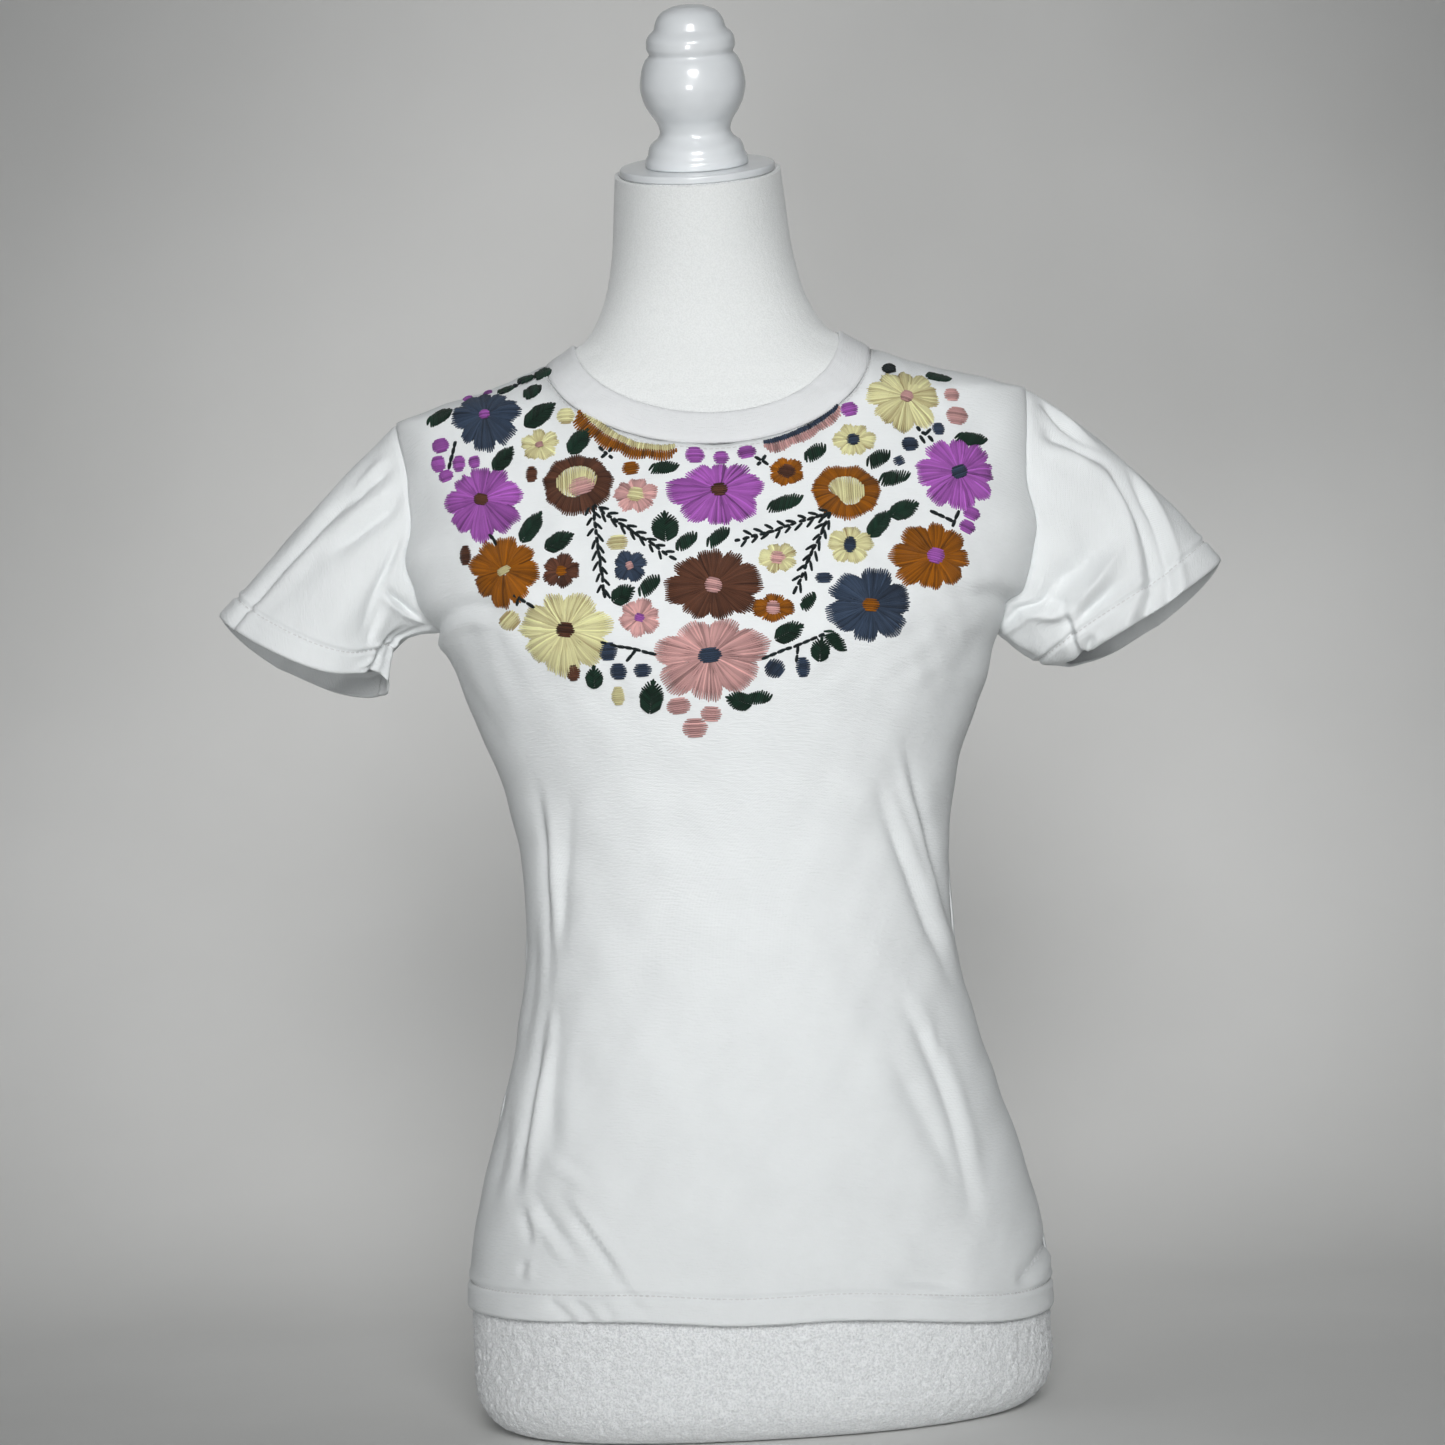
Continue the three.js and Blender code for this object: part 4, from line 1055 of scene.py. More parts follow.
def form_point(turn, z, off=0.0):
    """The form at a turn from centre front, moved out by off. Its foot is rounded, and its top
    rings tilt forwards more and more, up to the angle of the cap."""
    foot = np.maximum(0, FOOT_ROUND - z)
    inset = FOOT_ROUND - np.sqrt(FOOT_ROUND ** 2 - foot ** 2)
    reach = np.where(np.cos(turn) > 0, curve(FORM, "front", z), curve(FORM, "back", z)) - inset + off
    wide, square = curve(FORM, "wide", z) - inset + off, curve(FORM, "square", z)
    points = on_ring(FRONT, wide, reach, square, turn, z)
    lean = (points[..., 1] - NECK_MIDDLE) * np.tan(NECK_TILT)
    points[..., 2] += lean * smooth((z - BAND_POINT_Z) / (NECK_TOP - BAND_POINT_Z))
    return points


def capped(points):
    """A stack of rings closed by a fan at each end: its points and its triangles."""
    rows, cols = points.shape[:2]
    low, high = points[0].mean(0), points[-1].mean(0)
    quads = grid_faces(rows, cols, around=True)
    sides = np.concatenate([quads[:, [0, 1, 2]], quads[:, [0, 2, 3]]])
    c = np.arange(cols)
    step = (c + 1) % cols
    foot = np.stack([np.full(cols, rows * cols), step, c], -1)
    last = (rows - 1) * cols
    head = np.stack([np.full(cols, rows * cols + 1), c + last, step + last], -1)
    return np.concatenate([points.reshape(-1, 3), [low, high]]), np.concatenate([sides, foot, head])


def cover_finish(name, dark, light, lumps, tall):
    """A fuzzy looped cloth: light loops with painted shade in the gaps between them, finer grain, soft
    sheen.
    """
    finish, tree, shader = new_finish(name, light, {"Roughness": 1, "Sheen Weight": 0.35})
    solid = place_on(tree, "Object")
    loops_and_gap_shade, grain = (noise(tree, solid, scale, 2, 0.6) for scale in (lumps, GRAIN_LUMPS))
    paint(tree, shader, loops_and_gap_shade, dark, light, 0.36, 0.6)
    raise_surface(tree, shader, [(loops_and_gap_shade, tall), (grain, tall / 3)])
    return finish


GRAIN_LUMPS = 1500
# Each cover's first colour is painted shade in the gaps between its loops.
cover = cover_finish("cover", (0.72, 0.74, 0.755), (0.92, 0.94, 0.95), 800, 0.0009)
neck_cover = cover_finish("neck_cover", (0.76, 0.78, 0.775), (0.82, 0.84, 0.835), 1100, 0.0003)
FORM_ROUND, FORM_ROWS, FOOT_ROWS = 112, 70, 10
PILE = 1.4  # the room that is left for the loops


def foot_rows(count, start=0):
    """Heights of the rings round the foot's quarter circle, closer together at its sole."""
    return FOOT_ROUND * (1 - np.cos(np.linspace(start, QUARTER, count)[:-1]))


form_rows = np.concatenate([foot_rows(FOOT_ROWS), np.linspace(FOOT_ROUND, NECK_TOP, FORM_ROWS)])
form_turns = np.linspace(0, 2 * np.pi, FORM_ROUND, endpoint=False)
torso = capped(form_point(form_turns, form_rows[:, None], -PILE))
form_piece = make_piece("form_torso", *torso, cover, "cover", ["form_body"])

# %% The cover's loops
SCATTER = 127.1, 311.7, 74.7, 43758.5453  # odd numbers, so that neighbours come out unlike
LOOP_LIFT, LOOP_MIDDLE, LOOP_CROWN, LOOP_EDGE = 0.25, 0.6, 1.5, 3
BURIED, BURIED_ROWS = 2.5, 8  # the inner face is never seen, so it has few rows


def lattice(i, j, seed):
    """A repeatable random number from 0 to 1 for each whole place on a lattice: what is left
    over the whole part of a large multiple of a sine."""
    value = np.sin(i * SCATTER[0] + j * SCATTER[1] + seed * SCATTER[2]) * SCATTER[3]
    return value - np.floor(value)


def tufts(u, v, size, seed, wrap):
    """Random heights 0 to 1, a lump every size: lattice numbers blended by soft steps. Round the
    form the lattice repeats after wrap lumps."""
    u, v = u / size, v / size
    i, j = np.floor(u), np.floor(v)
    s, t = smooth(u - i), smooth(v - j)
    left, right = i % wrap, (i + 1) % wrap
    low = lerp(lattice(left, j, seed), lattice(right, j, seed), s)
    high = lerp(lattice(left, j + 1, seed), lattice(right, j + 1, seed), s)
    return lerp(low, high, t)


def looped_skin(name, z, around, size, tall, finish, node):
    """A closed wall round the form whose outer face is tufted, and whose inner face is buried."""
    turn = np.linspace(0, 2 * np.pi, around, endpoint=False) + np.pi
    girth = np.linalg.norm(np.diff(form_point(turn, z[len(z) // 2]), axis=0), axis=-1).sum()
    lumps = round(girth / size)
    u = np.arange(around) / around * lumps * size
    u, v = np.broadcast_arrays(u, z[:, None])
    loops = tufts(u, v, size, 1, lumps) ** LOOP_CROWN + 0.5 * tufts(u, v, size / 2, 2, lumps * 2)
    edge = smooth((z - z[0]) / LOOP_EDGE) * smooth((z[-1] - z) / LOOP_EDGE)
    off = LOOP_LIFT + tall * (loops - LOOP_MIDDLE) * edge[:, None]
    base = form_point(turn, z[:, None])
    out = unit(form_point(turn, z[:, None], 1.0) - base)
    outer = base + out * off[..., None]
    buried = np.linspace(len(z) - 1, 0, BURIED_ROWS).round().astype(int)
    loop = np.concatenate([outer, base[buried] - out[buried] * BURIED])
    faces = grid_faces(len(loop) + 1, around, around=True) % (len(loop) * around)
    make_piece(name, loop, faces, finish, "cover", [node])


HIPS_TO, NECK_FROM, BELOW_CAP = 88, 542, 0.4  # loops are made only where the shirt leaves them in view
hip_rows = np.concatenate([foot_rows(28, 0.12), np.linspace(FOOT_ROUND, HIPS_TO, 48)])
looped_skin("form_hips_loops", hip_rows, 620, 1.9, 1.5, cover, "form_body")
neck_rows = np.linspace(NECK_FROM, NECK_TOP - BELOW_CAP, 96)
looped_skin("form_neck_loops", neck_rows, 360, 1.25, 0.3, neck_cover, "form_body")

# %% [markdown]
# ## Cap and finial
# The neck is closed by a lacquered wooden cap with a turned finial. Both are lathe work: a
# profile of radii, smoothed by a curve through a few measured rows, is spun round the leaning
# axis of the neck.

# %% Turned wood
FINIAL = table("z radius", [
    (0, 28.6), (4.2, 28.6), (5.6, 27.2), (9.5, 26.4), (12.6, 24.8), (15, 21.5),
    (19, 19.6), (24, 21), (30, 24.9), (37, 28.1), (44, 29.3), (52, 28.2),
    (59, 25.4), (61.5, 23.2), (65, 24.6), (69, 24.4), (72.5, 22.6), (74.5, 20.2),
    (79.5, 18.6), (84, 15.4), (87, 9),
])
CAP_RADIUS, CAP_THICK, CAP_GAP = 43.2, 4, 0.3
CAP_LOW_ROUND, CAP_TOP_ROUND, DOME_HIGH = 0.8, 1.2, 0.9
TURNED, FINIAL_ROWS = 96, 72


def lathe(name, up, radius, foot, node):
    """Spins a profile round the neck's axis, leaning forwards by the neck's tilt."""
    turn = np.linspace(0, 2 * np.pi, TURNED, endpoint=False)
    x, y = radius[:, None] * np.sin(turn), -radius[:, None] * np.cos(turn)
    up = up[:, None] + foot
    c, s = np.cos(NECK_TILT), np.sin(NECK_TILT)
    points = [x, NECK_MIDDLE + y * c - up * s, NECK_TOP + y * s + up * c]
    make_piece(name, *capped(np.stack(np.broadcast_arrays(*points), -1)), lacquer, "lacquer", [node])


def lacquer_finish():
    """White gloss paint on turned wood: a clear coat over a faintly uneven ground."""
    plain = {"Roughness": 0.3, "Coat Weight": 0.7, "Coat Roughness": 0.08}
    finish, tree, shader = new_finish("lacquer", (0.86, 0.88, 0.895), plain)
    brushed = noise(tree, place_on(tree, "Object"), 60, 2)
    paint(tree, shader, brushed, (0.77, 0.80, 0.82), (0.82, 0.85, 0.87), 0.3, 0.7)
    raise_surface(tree, shader, [(brushed, 0.0004)])
    return finish


lacquer = lacquer_finish()
low, top = CAP_LOW_ROUND, CAP_TOP_ROUND
bend = np.linspace(0, QUARTER, 8)
cap_up = np.concatenate([[0], low * (1 - np.cos(bend)), CAP_THICK - top + top * np.sin(bend)])
below, above = CAP_RADIUS - low + low * np.sin(bend), CAP_RADIUS - top + top * np.cos(bend)
cap_radius = np.concatenate([[CAP_RADIUS - top], below, above])
lathe("neck_cap_lacquer", cap_up, cap_radius, CAP_GAP, "neck_cap")
rows = np.linspace(0, FINIAL["z"][-1], FINIAL_ROWS)
dome = np.linspace(0, QUARTER, 10)[1:-1]
finial_up = np.concatenate([rows, FINIAL["z"][-1] + DOME_HIGH * np.sin(dome) ** 2])
finial_radius = np.concatenate([curve(FINIAL, "radius", rows), FINIAL["radius"][-1] * np.cos(dome)])
lathe("finial_lacquer", finial_up, finial_radius, CAP_THICK + 2 * CAP_GAP, "finial")

# %% [markdown]
# ## Embroidered yoke
# The yoke is worked by hand in satin stitch: six-stranded cotton laid side by side from one edge
# of a shape to the other, so that each petal is a padded cushion with ragged ends. A stitch here
# is a small closed ridge that dives into the cloth at both ends. Motifs are planned as x and z in
# millimetres, as seen from the front, and then laid on the creased cloth.

# %% Thread ridges
THREADS = {
    "purple": (170, 94, 184),
    "slate": (55, 68, 87),
    "ochre": (150, 88, 0),
    "brown": (94, 60, 45),
    "cream": (255, 228, 163),
    "pink": (208, 160, 157),
    "green": (23, 50, 38),
    "dark": (24, 36, 38),
}
STATIONS = 6
SINK, NARROW, SHOULDER = 0.35, 0.5, 0.55
PAINTED_GAP_SHADE, PAINTED_END_SHADE = 0.45, 0.12  # painted shade: stitches are darker low down, between each other, and at their sunk ends
DARKEST, LIGHTEST = 0.38, 1.5
TWIST, TWIST_TALL = 1250, 0.00012
SCREEN_CURVE, LEAST_TALL = 2.2, 0.1


def thread_finish(name, colour):
    """Stranded cotton: a soft gleam, a twist along each stitch, and a shade of its own for each,
    darkened as painted shade low between stitches and at their ends. A colour is a share of 255,
    raised to the power of the screen's curve."""
    linear = (np.array(colour) / 255) ** SCREEN_CURVE
    plain = {"Roughness": 0.62, "Sheen Weight": 0.05, "Specular IOR Level": 0.25}
    finish, tree, shader = new_finish(f"thread_{name}", linear, plain)
    shade = add_node(tree, "Attribute")
    shade.attribute_name = "shade"
    dark, light = (np.minimum(k * linear, 1) for k in (DARKEST, LIGHTEST))
    paint(tree, shader, shade.outputs["Fac"], dark, light)
    raise_surface(tree, shader, [(stripes(tree, place_on(tree, "UV"), TWIST, "DIAGONAL"), TWIST_TALL)])
    return finish


def ridges(name, path, out, half, tall, under, shade, finish):
    """One mesh of closed ridges, each along its own path of points: narrow and sunk at both ends,
    and highest in the middle. Its section has a low and a high corner on each side."""
    count, stations = path.shape[:2]
    bulge = np.abs(2 * eased(stations) - 1) ** 4
    half, tall, under = (np.broadcast_to(v, count)[:, None] for v in (half, tall, under))
    tangent = unit(np.gradient(path, axis=1))
    side = unit(np.cross(out, tangent))
    top = under + (tall + SINK) * (1 - bulge) - SINK
    base = np.minimum(under - SINK, top - LEAST_TALL)
    wide = half * (1 - NARROW * bulge)
    corners = [(-1, base), (-SHOULDER, top), (SHOULDER, top), (1, base)]
    points = [path + side * (k * wide)[..., None] + out * h[..., None] for k, h in corners]
    ring = np.arange(4)
    s = np.arange(stations - 1)[:, None] * 4
    step = (ring + 1) % 4
    walls = np.stack([s + ring, s + step, s + 4 + step, s + 4 + ring], -1).reshape(-1, 4)
    last = (stations - 1) * 4
    one = np.concatenate([walls[:, ::-1], [[0, 1, 2, 3]], [[last + 3, last + 2, last + 1, last]]])
    faces = (one + np.arange(count)[:, None, None] * stations * 4).reshape(-1, 4)
    run = run_along(path, 1)[..., None] + np.zeros(4)
    across = wide[..., None] * np.array([-1, -0.5, 0.5, 1])
    # Painted shade: the low corners, between neighbouring stitches, and the sunk ends are darkened.
    painted_shade = PAINTED_GAP_SHADE * np.array([1, 0, 0, 1]) + PAINTED_END_SHADE * bulge[:, None]
    marks = {"shade": np.reshape(shade, (-1, 1, 1)) - painted_shade + np.zeros(run.shape)}
    plan = np.stack([across, run], -1) * MM
    make_piece(name, np.stack(points, 2), faces, finish, "thread", (), plan, marks)


print("threads", *THREADS)


# %% Stitches
SPACING, HALF, TALL = 1.25, 0.68, 1.0
HAND_TALL, HAND_SHADE = 0.12, 0.17  # how much stitches made by hand differ
RAGGED, START_RAGGED = 0.35, 0.6  # the end's millimetres, and the start's share of them
OVAL_FALL, OVAL_SHADE = 0.3, (0.45, 0.04)  # each shade is a middle and how far it scatters
sewn = {thread: [] for thread in THREADS}


def sew(thread, start, end, tall=TALL, half=HALF, under=0.0, shade=0.0, bow=0.0, ragged=RAGGED):
    """Keeps stitches from start to end, each a little longer or shorter and darker or lighter
    than planned. under lifts a stitch over others, and bow bends its middle to its left."""
    start, end = np.atleast_2d(start), np.atleast_2d(end)
    count = len(start)
    along = unit(end - start)
    start = start - along * chance.uniform(-ragged, ragged, (count, 1)) * START_RAGGED
    end = end + along * chance.uniform(-ragged, ragged, (count, 1))
    tall = tall * chance.uniform(1 - HAND_TALL, 1 + HAND_TALL, count)
    shade = shade + chance.normal(0, HAND_SHADE, count)
    rest = [np.broadcast_to(value, count) for value in (tall, half, under, shade, bow)]
    sewn[thread].append(np.concatenate([start, end, np.stack(rest, -1)], -1))


def stitch_count():
    """How many stitches are kept so far."""
    return sum(len(rows) for group in sewn.values() for rows in group)


def axes(angle):
    """The direction at an angle in degrees, and the one a quarter turn to its left."""
    turned = np.radians(angle)
    along = np.array([np.cos(turned), np.sin(turned)])
    return along, np.array([-along[1], along[0]])


def oval(thread, x, z, wide, tall, angle=0.0, under=0.0, crown=TALL):
    """A satin oval: parallel stitches across an ellipse whose half sizes are wide and tall. The
    stitches run along its width, turned by angle, and those at its ends lie lower."""
    share = between(max(3, round(2 * tall / SPACING)))
    along, across = axes(angle)
    middle = np.array([x, z]) + across * (share * tall)[:, None]
    reach = along * (wide * np.sqrt(1 - share ** 2))[:, None]
    sew(thread, middle - reach, middle + reach, crown * (1 - OVAL_FALL * share ** 2), under=under,
        shade=chance.normal(*OVAL_SHADE))


print("stitches to fill 10 mm", round(10 / SPACING))

# %% Flowers
FLOWERS = records("thread eye x z left right up down petals first notch eye_wide eye_tall", [
    ("slate", "purple", -124, 564, 18, 20, 14, 23, 8, 5, 0.3, 3.2, 3.2),
    ("purple", "brown", -127, 516, 22, 25, 18, 25, 8, 5, 0.28, 4.6, 3.5),
    ("ochre", "cream", -116, 476, 19, 21, 19, 21, 8, -10, 0.28, 4.5, 2.5),
    ("cream", "brown", -84, 442, 26, 26, 20.5, 25, 7, 7, 0.26, 5.5, 4.5),
    ("purple", "brown", 2, 513, 29, 26, 16, 22, 8, 0, 0.28, 5, 4),
    ("brown", "pink", -4, 461, 28.5, 29, 20.5, 20.5, 8, 8, 0.26, 5, 4.6),
    ("pink", "slate", -8, 424, 31, 33, 21, 25, 7, 10, 0.28, 7, 4.5),
    ("slate", "ochre", 79, 446, 27, 24, 20.5, 21, 6, 15, 0.32, 5, 4),
    ("ochre", "purple", 116, 471, 27, 18, 19.5, 20, 8, -7, 0.28, 5.2, 4.6),
    ("purple", "slate", 133, 517, 26.5, 19.5, 19, 22.5, 8, -2, 0.28, 5.4, 4),
    ("cream", "pink", 107, 560, 23, 19.5, 14, 21, 8, -5, 0.3, 3.8, 3.5),
    ("cream", "pink", -94, 544, 11, 11, 9, 9, 5, 20, 0.34, 2.5, 1.8),
    ("pink", "cream", -43, 513, 12.5, 12.5, 10, 10, 5, 10, 0.32, 5.5, 4.5),
    ("slate", "pink", -48, 474, 9.5, 9.5, 9.5, 9.5, 4, 40, 0.36, 2.2, 2.7),
    ("brown", "ochre", -85, 474, 11, 11, 9.5, 9.5, 5, 0, 0.32, 3.2, 3.2),
    ("pink", "purple", -44, 446, 12, 12, 11, 11, 6, 15, 0.3, 3.2, 2.7),
    ("ochre", "brown", 39, 521, 11, 11, 8.5, 8.5, 4, 42, 0.26, 6, 4.3),
    ("cream", "slate", 76, 537, 12.5, 12.5, 9.5, 9.5, 6, 0, 0.3, 4.3, 3.8),
    ("cream", "pink", 31, 474, 11, 11, 8.5, 8.5, 5, 30, 0.34, 4.9, 4),
    ("cream", "slate", 70, 479, 13, 13, 11, 11, 5, 15, 0.3, 3.8, 4.9),
    ("ochre", "pink", 27, 447, 12, 12, 7.5, 7.5, 4, 0, 0.22, 4.3, 4.3),
])
CUT_WANDER = 0.15  # petals are unequal by this share
FAN_SPACING = 0.95  # stitches lie closer than side by side, because they narrow inwards
# A petal's shade scatters from its neighbours' as painted sheen: satin catches the light by the way its
# stitches run.
FEWEST, PETAL_LONG, PETAL_BOW, PETAL_TONE_AND_PAINTED_SHEEN = 6, (0.92, 1.05), 0.04, (0.52, 0.08)
NOTCH_DEEP, NOTCH_HOLD = 0.85, 4
WOBBLE, WOBBLE_WAVES, WOBBLE_START = 0.03, (4, 7), (0, 6)
LATE, LATER = (0, 0.06), (0.1, 0.3)  # how far out stitches start: all of them, and every second
CROWN, CROWN_FALL, CROWN_HOLD = 1.15, 0.75, 2.5
EYE_FROM, EYE_TURN, EYE_LIFT, EYE_CROWN = 0.35, 25, 0.55, 0.7


def flower(row):
    """Petals round an eye. In each, stitches fan from the eye's rim to an outline that is an oval
    drawn in between petals, every second one starts farther out, and the sides lie lower."""
    count = int(row.petals)
    cuts = np.arange(count) - 0.5 + chance.uniform(-CUT_WANDER, CUT_WANDER, count)
    cuts = np.radians(row.first) + 2 * np.pi / count * np.r_[cuts, cuts[0] + count]
    for low, high in zip(cuts, cuts[1:]):
        middle, wedge = (low + high) / 2, high - low
        across = row.right if np.cos(middle) > 0 else row.left
        up = row.up if np.sin(middle) > 0 else row.down
        far = 1 / np.hypot(np.cos(middle) / across, np.sin(middle) / up)
        count = max(FEWEST, round(FAN_SPACING * wedge * far / SPACING))
        share = between(count)
        angle = middle + share * wedge / 2
        c, s = np.cos(angle), np.sin(angle)
        across, up = np.where(c > 0, row.right, row.left), np.where(s > 0, row.up, row.down)
        reach = chance.uniform(*PETAL_LONG) / np.hypot(c / across, s / up)
        wobble = WOBBLE * np.sin(chance.uniform(*WOBBLE_WAVES) * share + chance.uniform(*WOBBLE_START))
        reach = reach * (1 + wobble - NOTCH_DEEP * row.notch * np.abs(share) ** NOTCH_HOLD)
        ray, centre = np.stack([c, s], -1), np.array([row.x, row.z])
        root = centre + EYE_FROM * ray * [row.eye_wide, row.eye_tall]
        tip = centre + ray * reach[:, None]
        late = chance.uniform(*LATE, count)
        late = late + np.where(np.arange(count) % 2, 0, chance.uniform(*LATER, count))
        crown = TALL * (CROWN - CROWN_FALL * np.abs(share) ** CROWN_HOLD)
        # Each petal takes one shade of its own, painted sheen for its stitch direction.
        sew(row.thread, lerp(root, tip, late[:, None]), tip, crown, bow=share * PETAL_BOW * reach,
            ragged=0.5, shade=chance.normal(*PETAL_TONE_AND_PAINTED_SHEEN))
    angle = chance.uniform(-EYE_TURN, EYE_TURN)
    oval(row.eye, row.x, row.z, row.eye_wide, row.eye_tall, angle, EYE_LIFT, EYE_CROWN)


for row in FLOWERS:
    flower(row)
print("flowers", len(FLOWERS), "stitches", stitch_count())

# %% Ring flowers
RINGS = records("thread filling x z wide tall lobes hole_x hole_z hole_wide hole_tall dent_at dent", [
    ("brown", "cream", -74, 520, 19.3, 17.3, 9, 0, 1.8, 11.8, 9.8, 308, 0.32),
    ("ochre", "cream", 70, 508, 19, 15.5, 7, -0.3, 0.6, 10.6, 9, 222, 0.5),
])
DENT_SPREAD = np.radians(38)
TUCK_IN, TUCK_OUT = 0.86, 1.04  # the ring starts inside the hole's rim, and the filling ends outside
RING_LOBE, RING_WAVE, RING_SHADE, LOBE_SHADE = 0.035, 0.02, 0.42, 0.08


def hole(row, angle, share=1.0):
    """The rim of a ring's hole: an oval with one soft dent."""
    apart = (angle - np.radians(row.dent_at) + np.pi) % (2 * np.pi) - np.pi
    share = share * (1 - row.dent * bell(apart, DENT_SPREAD))
    x = row.x + row.hole_x + row.hole_wide * share * np.cos(angle)
    return np.stack([x, row.z + row.hole_z + row.hole_tall * share * np.sin(angle)], -1)


def ring_flower(row):
    """A ring of stitches from the rim of a hole out to a faintly lobed edge. The hole is filled
    by upright stitches, each between two places on its rim at the same angle up and down."""
    count = round(np.pi * (row.wide + row.tall) / SPACING)
    angle = np.linspace(0, 2 * np.pi, count, endpoint=False)
    wavy = 1 + RING_LOBE * np.sin(row.lobes * angle) + RING_WAVE * np.sin(3 * angle + 1)
    outer = np.stack([row.x + row.wide * wavy * np.cos(angle), row.z + row.tall * wavy * np.sin(angle)], -1)
    shade = RING_SHADE + LOBE_SHADE * np.sin(row.lobes * angle + 1)
    sew(row.thread, hole(row, angle, TUCK_IN), outer, ragged=0.5, shade=shade)
    upright = np.arccos(between(round(2 * row.hole_wide / SPACING)))
    sew(row.filling, *(hole(row, way * upright, TUCK_OUT) for way in (1, -1)), ragged=0.3, shade=0.5)


for row in RINGS:
    ring_flower(row)
# A pink oval lies over the filling of the first.
oval("pink", RINGS[0].x + 2.2, RINGS[0].z - 0.8, 8.2, 5.2, 14, 0.5)
print("ring flowers", len(RINGS), "stitches", stitch_count())

# %% Buds
BUDS = records("thread x z wide tall angle", [
    ("purple", -149, 548, 5.4, 4.3, 10), ("purple", -151, 538, 4.9, 4.9, 5),
    ("purple", -139, 537, 4.3, 4.9, 0), ("purple", -130, 537, 3.8, 3.8, 10),
    ("purple", -147, 531, 4.9, 3.5, 15), ("purple", -10, 533, 5.9, 4.9, 0),
    ("purple", 4, 531, 4.9, 4, 0), ("purple", 18, 533, 5.9, 3.8, 5), ("purple", 75, 554, 5.4, 4.3, 10),
    ("purple", 137, 493, 5, 3.8, -30), ("purple", 134, 486, 4.9, 3.8, -30),
    ("purple", -134, 575, 3.2, 2.2, 20), ("purple", -123, 578, 3.2, 1.6, 10),
    ("cream", -79, 559, 5.4, 4.9, 0), ("cream", -54, 487, 6.5, 4.6, 0),
    ("cream", -114, 449, 5.9, 5.7, 50), ("cream", -58, 405, 4, 5.4, 0),
    ("brown", -99, 528, 3.8, 4.9, 0), ("brown", -137, 486, 3.8, 5.9, 0), ("brown", -81, 419, 4, 4.9, 0),
    ("ochre", -45, 528, 5.4, 4, 5), ("slate", -62, 429, 5.7, 5.4, 0), ("slate", -57, 418, 5.1, 4.9, 0),
    ("slate", -44, 418, 5.4, 4, 0), ("slate", 100, 524, 3.8, 3.2, 20), ("slate", 107, 533, 4.9, 4.3, 0),
    ("slate", 123, 541, 3.8, 4, 0), ("slate", 55, 462, 5.4, 3.2, 0), ("slate", 26, 415, 5.9, 5.4, 50),
    ("slate", 41, 415, 4.3, 5.7, 0), ("pink", -26, 398, 7.3, 4.9, 5), ("pink", -9, 393, 6.2, 4.6, -5),
    ("pink", -18, 386, 7.6, 5.7, 0), ("pink", 132, 560, 4.9, 4, 0), ("pink", 134, 548, 6.8, 5.4, -10),
    ("dark", 99, 577, 4, 3, 10),
])
for row in BUDS:
    oval(*row)
print("buds", len(BUDS), "stitches", stitch_count())

# %% Leaves
LEAVES = records("x z long wide angle", [
    (-149, 564, 16, 8, 30), (-91, 585, 10, 6, 25), (-97, 575, 11, 7, 35), (-93, 561, 21.5, 11, 35),
    (-72, 545, 18.5, 11, 50), (-114, 538, 17, 10, 50), (-27, 527, 17, 8, 8), (-100, 499, 20.5, 10, 55),
    (-85, 490, 18, 10, 25), (-28, 495, 17, 15.5, 90), (-17, 486, 14.5, 8.5, 40), (0, 487, 16, 8, 40),
    (-52, 459, 14.5, 11, 30), (-38, 463, 16, 9, 50), (-70, 416, 12.5, 10, 90), (-40, 404, 19, 13.5, 80),
    (6, 399, 15, 10.5, 160), (17, 400, 15, 8, 12), (55, 531, 15, 9, 40), (89, 526, 16, 9.5, 35),
    (97, 515, 18.5, 9.5, 15), (141, 535, 19.5, 8.5, 0), (126, 571, 14.5, 6, -5), (37, 504, 21.5, 9, 20),
    (87, 490, 19.5, 10, 48), (101, 497, 18, 11, 20), (46, 450, 12, 7.5, 60), (35, 434, 18, 11, 25),
    (51, 424, 13.5, 11, 80), (59, 428, 16, 8, -40), (-112, 578, 10, 4.5, 20), (-101, 583, 9, 4.5, 20),
])
LEAF_SLANT, BROAD, OVERLAP = 0.3, 9.6, 0.12
LEAF_BLUNT, LEAF_POINT, LEAF_SHADE, HALF_PAINTED_SHEEN = 0.55, 0.25, (0.45, 0.06), 0.04


def leaf(row):
    """A leaf, blunt at its foot and pointed at its tip. Stitches slant from edge to edge, or, in
    a broad leaf, from the middle line to both edges."""
    along, across = axes(row.angle)

    def edge(share, side):
        """Half the width times one minus the share squared, to a power that grows to the tip."""
        share = np.clip(share, -1, 1)
        wide = row.wide / 2 * (1 - share ** 2) ** (LEAF_BLUNT + LEAF_POINT * share)
        middle = [row.x, row.z] + along * (share * row.long / 2)[:, None]
        return middle + across * (side * wide)[:, None]

    share = between(round(row.long / SPACING))
    shade = chance.normal(*LEAF_SHADE)
    # The halves slant opposite ways, so one is painted lighter and the other darker: painted sheen.
    halves = [(OVERLAP, -1, -HALF_PAINTED_SHEEN), (-OVERLAP, 1, HALF_PAINTED_SHEEN)]
    if row.wide < BROAD:
        halves = [(-1, 1, 0)]
    for start, end, lighter in halves:
        sew("green", edge(share - LEAF_SLANT, start), edge(share + LEAF_SLANT, end), shade=shade + lighter)


for row in LEAVES:
    leaf(row)
print("leaves", len(LEAVES), "stitches", stitch_count())

